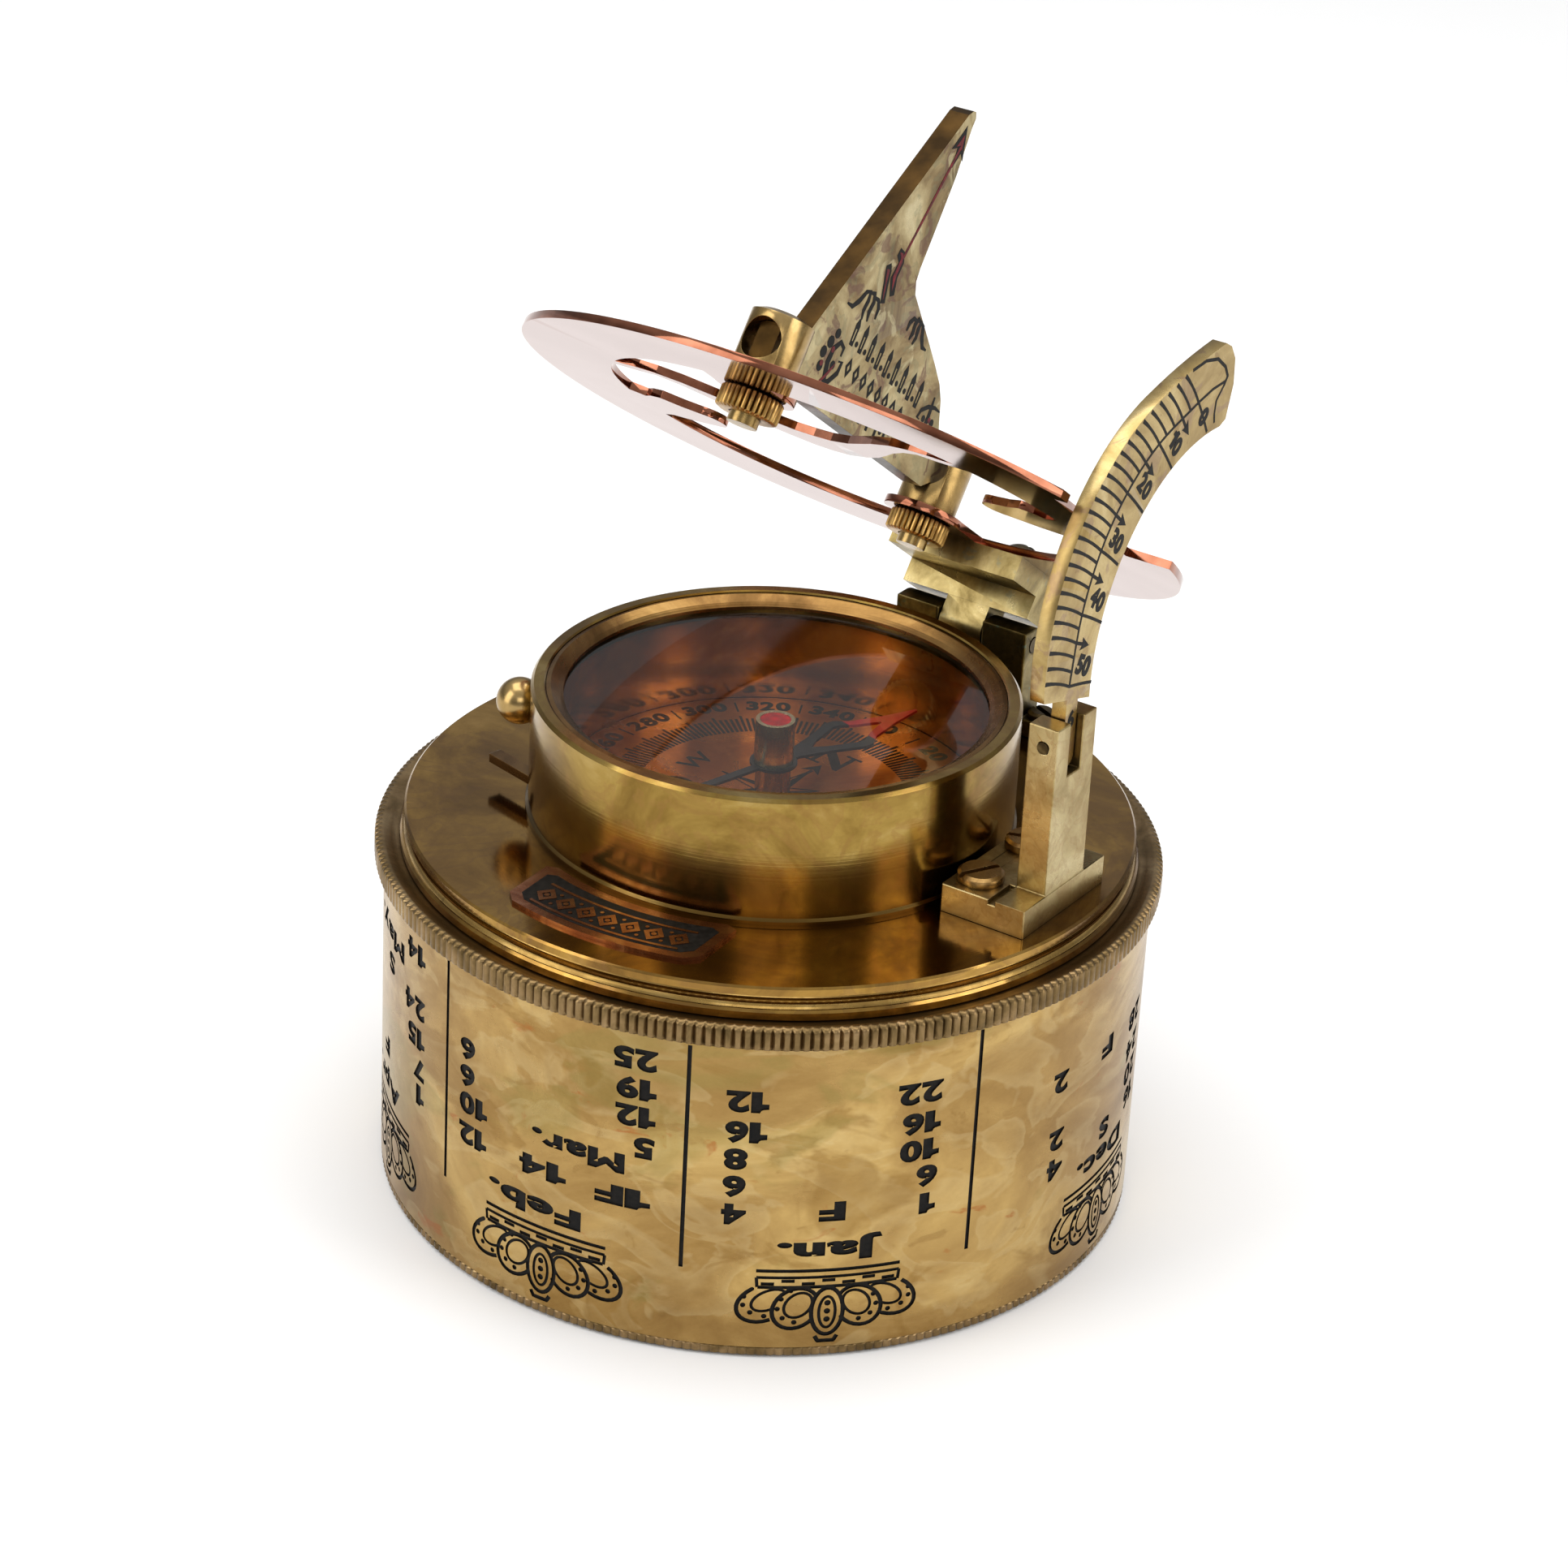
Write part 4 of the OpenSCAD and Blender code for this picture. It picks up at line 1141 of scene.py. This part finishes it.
def arrow(groups_black, groups_red):
    groups_red += stroke([(3.95, 31.2), (6.25, 18.9)], 0.34)
    groups_black.append([[(4.25, 33.3), (5.45, 30.4), (4.5, 30.9), (4.1, 29.0), (3.55, 30.7), (2.75, 30.2)]])
    groups_red.append([[(4.1, 32.4), (4.75, 30.95), (4.1, 31.3), (3.6, 30.95)]])
    # split feathers, dark at their edges
    groups_black.append([[(7.45, 18.75), (6.75, 18.3), (7.05, 16.6), (5.95, 15.1), (5.25, 15.5), (5.9, 17.0), (5.8, 18.6), (6.4, 19.5), (7.3, 19.6)]])
    groups_red.append([[(7.2, 19.2), (6.6, 18.75), (6.75, 16.9), (5.95, 15.6), (6.25, 17.2), (6.1, 18.6), (6.55, 19.3)]])
    groups_black.append([[(8.6, 17.3), (8.1, 16.2), (7.1, 14.0), (6.35, 14.3), (7.0, 15.9), (7.4, 17.2), (7.9, 17.8)]])
    groups_red.append([[(8.3, 17.1), (7.8, 16.2), (7.0, 14.4), (6.9, 14.6), (7.45, 16.0), (7.75, 17.2)]])
    return groups_black, groups_red


def scroll(cx, cy, s=1.0, flip_x=1):
    out = []
    P = lambda pts: [(cx + flip_x * s * p[0], cy + s * p[1]) for p in pts]
    out.append(taper(P(((3.9, -1.2), (2.8, -1.2), (1.9, -0.3), (1.2, 0.9), (0.5, 1.2), (0.3, 0.3), (0.5, -0.8), (0.2, -1.7))), [0.2, 0.5, 0.6, 0.5, 0.5, 0.6, 0.55, 0.25]))
    out.append(taper(P(((0.5, 1.1), (-0.4, 1.3), (-0.8, 0.5), (-0.6, -0.6), (-0.9, -1.5))), [0.3, 0.55, 0.6, 0.6, 0.25]))
    out.append(taper(P(((-0.6, 1.0), (-1.5, 1.0), (-2.1, 0.3), (-2.2, -0.8))), [0.3, 0.5, 0.55, 0.25]))
    return out


def sprig(cx, cy, s=1.0, turn=0.0):
    """A leafy curl: two hooked stems and five leaves."""
    out = []
    ct, st = math.cos(turn), math.sin(turn)
    T = lambda p: (cx + s * (p[0] * ct - p[1] * st), cy + s * (p[0] * st + p[1] * ct))
    out.append(taper([T(p) for p in ((-1.8, -2.6), (-0.8, -1.3), (0.1, 0.1), (0.3, 1.5), (-0.3, 2.6), (-1.2, 2.5), (-1.4, 1.7))], [s * w for w in (0.3, 0.7, 0.8, 0.7, 0.55, 0.5, 0.25)]))
    out.append(taper([T(p) for p in ((0.9, -2.9), (-0.4, -2.2), (-1.6, -1.0), (-2.3, 0.4), (-2.1, 1.5), (-1.5, 1.2))], [s * w for w in (0.2, 0.5, 0.6, 0.6, 0.5, 0.2)]))
    for px, py, r in ((1.3, 1.6, 0.62), (1.6, 0.3, 0.6), (1.0, -0.9, 0.55), (0.9, 2.8, 0.5), (-0.9, 0.4, 0.45)):
        out.append([disc(T((px, py)), r * s, 9)])
    return out


gn_black, gn_red = [], []
arrow(gn_black, gn_red)
gn_black += scroll(9.0, 13.2, 0.95, 1)
gn_black += scroll(-1.2, 14.2, 0.8, -1)
gn_black += sprig(12.0, 6.2, 1.0, 0.25)
gn_black += sprig(-9.6, 7.6, 0.8, -2.6)
gn_red += [taper([(12.6, 3.9), (11.5, 5.2), (10.7, 6.6)], [0.15, 0.35, 0.15]), [disc((12.0, 7.6), 0.32, 8)], [disc((13.1, 5.9), 0.3, 8)], [disc((-10.0, 7.9), 0.3, 8)]]
# three generic bands of pointed leaves, lozenges and bars
for k in range(9):
    cx, cy = 9.3 - k * 1.95, 10.3 - k * 0.12
    gn_black.append([[(cx + 0.34, cy - 1.35), (cx + 0.42, cy + 0.7), (cx, cy + 1.5), (cx - 0.42, cy + 0.7), (cx - 0.34, cy - 1.35)],
                     [(cx + 0.1, cy - 0.9), (cx + 0.13, cy + 0.3), (cx - 0.13, cy + 0.3), (cx - 0.1, cy - 0.9)]])
    if k < 8:
        gn_black.append([disc((cx - 0.97, cy - 0.9), 0.3, 8)])
for k in range(8):
    cx, cy = 8.1 - k * 1.75, 7.1 - k * 0.1
    gn_black.append([[(cx + 0.62, cy), (cx, cy + 1.0), (cx - 0.62, cy), (cx, cy - 1.0)], [(cx + 0.22, cy), (cx, cy + 0.42), (cx - 0.22, cy), (cx, cy - 0.42)]])
for k in range(6):
    cx, cy = 6.2 - k * 1.8, 4.4 - k * 0.1
    gn_black.append([[(cx + 0.22, cy - 0.9), (cx + 0.22, cy + 0.9), (cx - 0.22, cy + 0.9), (cx - 0.22, cy - 0.9)]])
    if k < 5:
        gn_black.append([disc((cx - 0.9, cy), 0.34, 8)])
inlay("gnomon_engraving", gn_black, on_gnomon, [black_fill], "gnomon", slot="brass_dark")
inlay("gnomon_arrow_red", gn_red, on_gnomon, [dark_red], "gnomon", top=0.03, bottom=-0.015, slot="brass_dark")

# ------------------------------------------------------------------ hour plate: hour lines and numerals on its upper face

pl = []
for r, w in ((32.6, 0.22), (29.9, 0.16), (25.2, 0.22)):
    a0 = 14 if r > 28 else 0
    a1 = 332 if r > 28 else 360
    if r > 28:
        pl += stroke([(0.4 + p[0] , p[1]) for p in arc_pts((0, 0), r, 42, 346, 150)], w)
    else:
        pl += stroke([(0.4 + p[0], p[1]) for p in arc_pts((0, 0), r, 0, 360, 150)[:-1]], w, closed=True)
for q in range(0, 73):
    h = q / 4.0
    # hour angle from noon, drawn with noon at the far end of the gnomon's foot
    ang = 90 + (h - 9) * 15 * 0.98
    if -12 < (ang - 360 if ang > 180 else ang) < 30 and ang < 40:
        pass
    a = math.radians(ang)
    deg = ang % 360
    if deg < 42 or deg > 346:
        continue
    r0 = 29.9
    r1 = 31.2 if q % 4 else 32.6
    if q % 2 and q % 4:
        r1 = 30.7
    pl += stroke([(0.4 + r0 * math.cos(a), r0 * math.sin(a)), (0.4 + r1 * math.cos(a), r1 * math.sin(a))], 0.18)
for h, text in ((0, "III"), (1, "IV"), (2, "V"), (3, "VI"), (4, "VII"), (5, "VIII"), (6, "IX"), (7, "X"), (8, "XI"), (9, "XII"),
                (10, "I"), (11, "II"), (12, "III"), (13, "IV"), (14, "V"), (15, "VI"), (16, "VII"), (17, "VIII"), (18, "IX")):
    ang = 90 + (h - 9) * 15 * 0.98
    deg = ang % 360
    if deg < 44 or deg > 344:
        continue
    a = math.radians(ang)
    g = words_at(text, 0, 0, 2.3, 0.015, 0.85)
    ux, uy = math.cos(a), math.sin(a)
    c = (0.4 + 27.5 * ux, 27.5 * uy)
    tx, ty = -uy, ux
    # heads outward; the ring's own axes are left-handed seen from above, so x runs along the tangent
    pl += moved(g, lambda x, y: (c[0] + tx * x + ux * y, c[1] + ty * x + uy * y))


def on_plate(x, y, h):
    return plate_pt(x, y, 0.8 + h)


inlay("hour_scale", pl, on_plate, [engrave_fill], "plate", slot="brass_dark")

# ------------------------------------------------------------------ compass dial

dial = []
NORTH = 52.6


def dial_dir(deg):
    """Point at compass angle deg (clockwise from north, seen from above)."""
    a = math.radians(NORTH - deg)
    return (math.cos(a), math.sin(a))


for d in range(0, 360, 2):
    c = dial_dir(d)
    r0, r1 = 13.0, 15.8
    if d % 10 == 0:
        r1 = 16.4
    dial += stroke([(c[0] * r0, c[1] * r0), (c[0] * r1, c[1] * r1)], 0.27)
for d in range(0, 360, 10):
    if d % 20:
        c = dial_dir(d)
        dial += stroke([(c[0] * 17.4, c[1] * 17.4), (c[0] * 19.4, c[1] * 19.4)], 0.2)
for d in range(0, 360, 20):
    c = dial_dir(d)
    g = words_at(str(d), 0, 0, 1.9, 0.045, 1.15)
    tx, ty = c[1], -c[0]
    dial += moved(g, lambda x, y: (c[0] * 18.55 + tx * x + c[0] * y, c[1] * 18.55 + ty * x + c[1] * y))
# eight-pointed rose with an arrow to north
for k in range(8):
    a = 45 * k
    c, l, r = dial_dir(a), dial_dir(a + 22.5), dial_dir(a - 22.5)
    R1 = 6.2 if k % 2 == 0 else 4.6
    dial.append([[(c[0] * R1, c[1] * R1), (l[0] * 1.9, l[1] * 1.9), (0, 0)]])
    dial += stroke([(c[0] * R1, c[1] * R1), (r[0] * 1.9, r[1] * 1.9)], 0.14)
nrt = dial_dir(0)
px_, py_ = nrt[1], -nrt[0]
dial += stroke([(nrt[0] * 2.0, nrt[1] * 2.0), (nrt[0] * 6.2, nrt[1] * 6.2)], 0.36)
dial.append([[(nrt[0] * 7.7, nrt[1] * 7.7), (nrt[0] * 5.8 + px_ * 1.05, nrt[1] * 5.8 + py_ * 1.05), (nrt[0] * 6.4, nrt[1] * 6.4), (nrt[0] * 5.8 - px_ * 1.05, nrt[1] * 5.8 - py_ * 1.05)]])


def serif_n(s):
    """Two thin stems with serifs and a heavy diagonal; 1 high, centred."""
    g = [[[(-0.42, -0.5), (-0.31, -0.5), (-0.31, 0.5), (-0.42, 0.5)]],
         [[(0.31, -0.5), (0.42, -0.5), (0.42, 0.5), (0.31, 0.5)]],
         [[(-0.52, 0.5), (-0.22, 0.5), (0.42, -0.26), (0.42, -0.54), (0.30, -0.54), (-0.42, 0.32), (-0.52, 0.42)]],
         [[(-0.58, -0.5), (-0.14, -0.5), (-0.14, -0.41), (-0.58, -0.41)]],
         [[(0.14, 0.5), (0.58, 0.5), (0.58, 0.41), (0.14, 0.41)]]]
    return [[[(x * s, y * s) for x, y in l] for l in q] for q in g]


for letter, a in (("N", 0), ("E", 90), ("S", 180), ("W", 270)):
    c = dial_dir(a)
    tx, ty = c[1], -c[0]
    g = moved(serif_n(3.3), lambda x, y: (x * 1.25, y)) if letter == "N" else words_at(letter, 0, 0, 2.2, 0.01, 1.1)
    dial += moved(g, lambda x, y: (c[0] * 9.5 + tx * x + c[0] * y, c[1] * 9.5 + ty * x + c[1] * y))
inlay("dial_marks", dial, lambda x, y, h: Vector((x, y, 40.1 + h)), [soot], "base", slot="brass_dark")

# ------------------------------------------------------------------ ornament plate on the disc

A0 = math.radians(240.3)


def on_label(x, y, h):
    """x along the plate (clockwise tangent), y outward from 28.4."""
    c, s = math.cos(A0), math.sin(A0)
    return Vector((c * y - s * x, s * y + c * x, 38.44 + h))


def rounded(pts, r, n=5):
    out = []
    m = len(pts)
    for i in range(m):
        p, a, b = Vector(pts[i]), Vector(pts[i - 1]), Vector(pts[(i + 1) % m])
        da, db = (a - p).normalized(), (b - p).normalized()
        rr = min(r, (a - p).length * 0.45, (b - p).length * 0.45)
        p0, p1 = p + da * rr, p + db * rr
        for k in range(n + 1):
            t = k / n
            out.append(tuple((1 - t) ** 2 * p0 + 2 * t * (1 - t) * p + t * t * p1))
    return out


def band(r0, r1, half):
    """Outline of the plate: between two circles about the axis, ends at x = +-half."""
    inner = [(half * (1 - 2 * k / 24), math.sqrt(r0 * r0 - (half * (1 - 2 * k / 24)) ** 2)) for k in range(25)]
    outer = [(-half * (1 - 2 * k / 24), math.sqrt(r1 * r1 - (half * (1 - 2 * k / 24)) ** 2)) for k in range(25)]
    return inner + outer


def chamfer_corners(loop_fn, half, r0, r1, c):
    xs = [half - c - (2 * half - 2 * c) * k / 20 for k in range(21)]
    inner = [(x, math.sqrt(r0 * r0 - x * x)) for x in xs]
    outer = [(-x, math.sqrt(r1 * r1 - x * x)) for x in xs]
    right = [(-half, math.sqrt(r0 * r0 - half * half) + c * 0.8), (-half, math.sqrt(r1 * r1 - half * half) - c * 0.8)]
    left = [(half, math.sqrt(r1 * r1 - half * half) - c * 0.8), (half, math.sqrt(r0 * r0 - half * half) + c * 0.8)]
    return inner + right + outer + left


label_out = chamfer_corners(band, 10.4, 24.75, 32.05, 1.1)
label_in = chamfer_corners(band, 9.4, 25.75, 31.1, 0.9)
inlay("ornament_plate", [[label_out]], on_label, [label_copper], "base", top=0.36, bottom=0.0, replaces=("maker_plate",), slot="copper_plate")
inlay("ornament_plate_field", [[label_in]], on_label, [black_fill], "base", top=0.38, bottom=0.3, slot="label_black")
lab = []
for k in range(-3, 4):
    x = k * 2.4
    yc = 28.9 - x * x / 62
    lab.append([[(x + 1.1, yc), (x, yc + 1.3), (x - 1.1, yc), (x, yc - 1.3)], [(x + 0.5, yc), (x, yc + 0.6), (x - 0.5, yc), (x, yc - 0.6)]])
    lab.append([disc((x, yc), 0.28, 8)])
for off, w in ((-1.85, 0.3), (1.75, 0.3)):
    lab += stroke([(x * 0.8, 28.9 + off - (x * 0.8) ** 2 / 62) for x in range(-10, 11)], w)
for k in range(-3, 3):
    x = (k + 0.5) * 2.4
    for off in (-0.95, 0.95):
        lab.append([disc((x, 28.9 + off - x * x / 62), 0.2, 8)])
inlay("ornament_plate_relief", lab, on_label, [label_copper], "base", top=0.46, bottom=0.34, slot="copper_plate")

# ------------------------------------------------------------------ studio

def area_light(name, loc, target, size, energy, colour=(1, 1, 1), size_y=None):
    la = bpy.data.lights.new(name, "AREA")
    la.shape = "RECTANGLE"
    la.size, la.size_y = size, size_y or size
    la.energy, la.color = energy, colour
    ob = bpy.data.objects.new(name, la)
    ob.location = loc
    ob.rotation_euler = (Vector(target) - Vector(loc)).to_track_quat("-Z", "Y").to_euler()
    scene.collection.objects.link(ob)
    return ob


MID_PT = (0, 0, 0.045)
area_light("top_soft", (0.0, 0.08, 0.62), MID_PT, 0.7, 2.6, size_y=0.5)
area_light("left_soft", (-0.62, -0.28, 0.36), MID_PT, 0.4, 2.3, size_y=0.7)
area_light("right_soft", (0.66, -0.30, 0.30), MID_PT, 0.35, 2.2, size_y=0.7)
area_light("front_fill", (0.05, -0.95, 0.55), MID_PT, 0.5, 1.2, size_y=0.35)

world = bpy.data.worlds.new("studio")
scene.world = world
world.use_nodes = True
wn, wl = world.node_tree.nodes, world.node_tree.links
bg = wn["Background"]
tc = wn.new("ShaderNodeTexCoord")
sep = wn.new("ShaderNodeSeparateXYZ")
wl.new(tc.outputs["Generated"], sep.inputs[0])
wr = wn.new("ShaderNodeValToRGB")
el = wr.color_ramp.elements
el[0].position, el[0].color = 0.0, (0.80, 0.80, 0.80, 1)
el[1].position, el[1].color = 1.0, (1.0, 1.0, 1.0, 1)
for p, c in ((0.12, 0.30), (0.30, 0.38), (0.55, 0.75)):
    x = el.new(p)
    x.color = (c, c, c, 1)
wl.new(sep.outputs[2], wr.inputs[0])
wl.new(wr.outputs[0], bg.inputs["Color"])
bg.inputs["Strength"].default_value = 0.75

fm, fn_, fl = material("floor_pale")
fo = fn_.new("ShaderNodeOutputMaterial")
fb = fn_.new("ShaderNodeBsdfPrincipled")
fb.inputs["Base Color"].default_value = (0.93, 0.93, 0.93, 1)
fb.inputs["Roughness"].default_value = 0.8
fl.new(fb.outputs[0], fo.inputs[0])
me = bpy.data.meshes.new("floor")
me.from_pydata([(-6, -6, 0), (6, -6, 0), (6, 6, 0), (-6, 6, 0)], [], [(0, 1, 2, 3)])
me.materials.append(fm)
floor = bpy.data.objects.new("floor", me)
floor.location.z = -0.00002
scene.collection.objects.link(floor)

# ------------------------------------------------------------------ camera

cam_data = bpy.data.cameras.new("camera")
cam = bpy.data.objects.new("camera", cam_data)
scene.collection.objects.link(cam)
cam_data.sensor_width = 36
cam_data.lens = 105.8
cam_data.clip_start, cam_data.clip_end = 0.01, 20
elev = math.radians(27.06)
target = Vector((1.12, 0, 40.99)) * MM
cam.location = target + Vector((0, -math.cos(elev), math.sin(elev))) * 0.4423
look = (target - cam.location).to_track_quat("-Z", "Y")
cam.rotation_mode = "QUATERNION"
cam.rotation_quaternion = look @ Matrix.Rotation(math.radians(3.06), 4, "Z").to_quaternion()
scene.camera = cam
scene.view_settings.view_transform = "Standard"
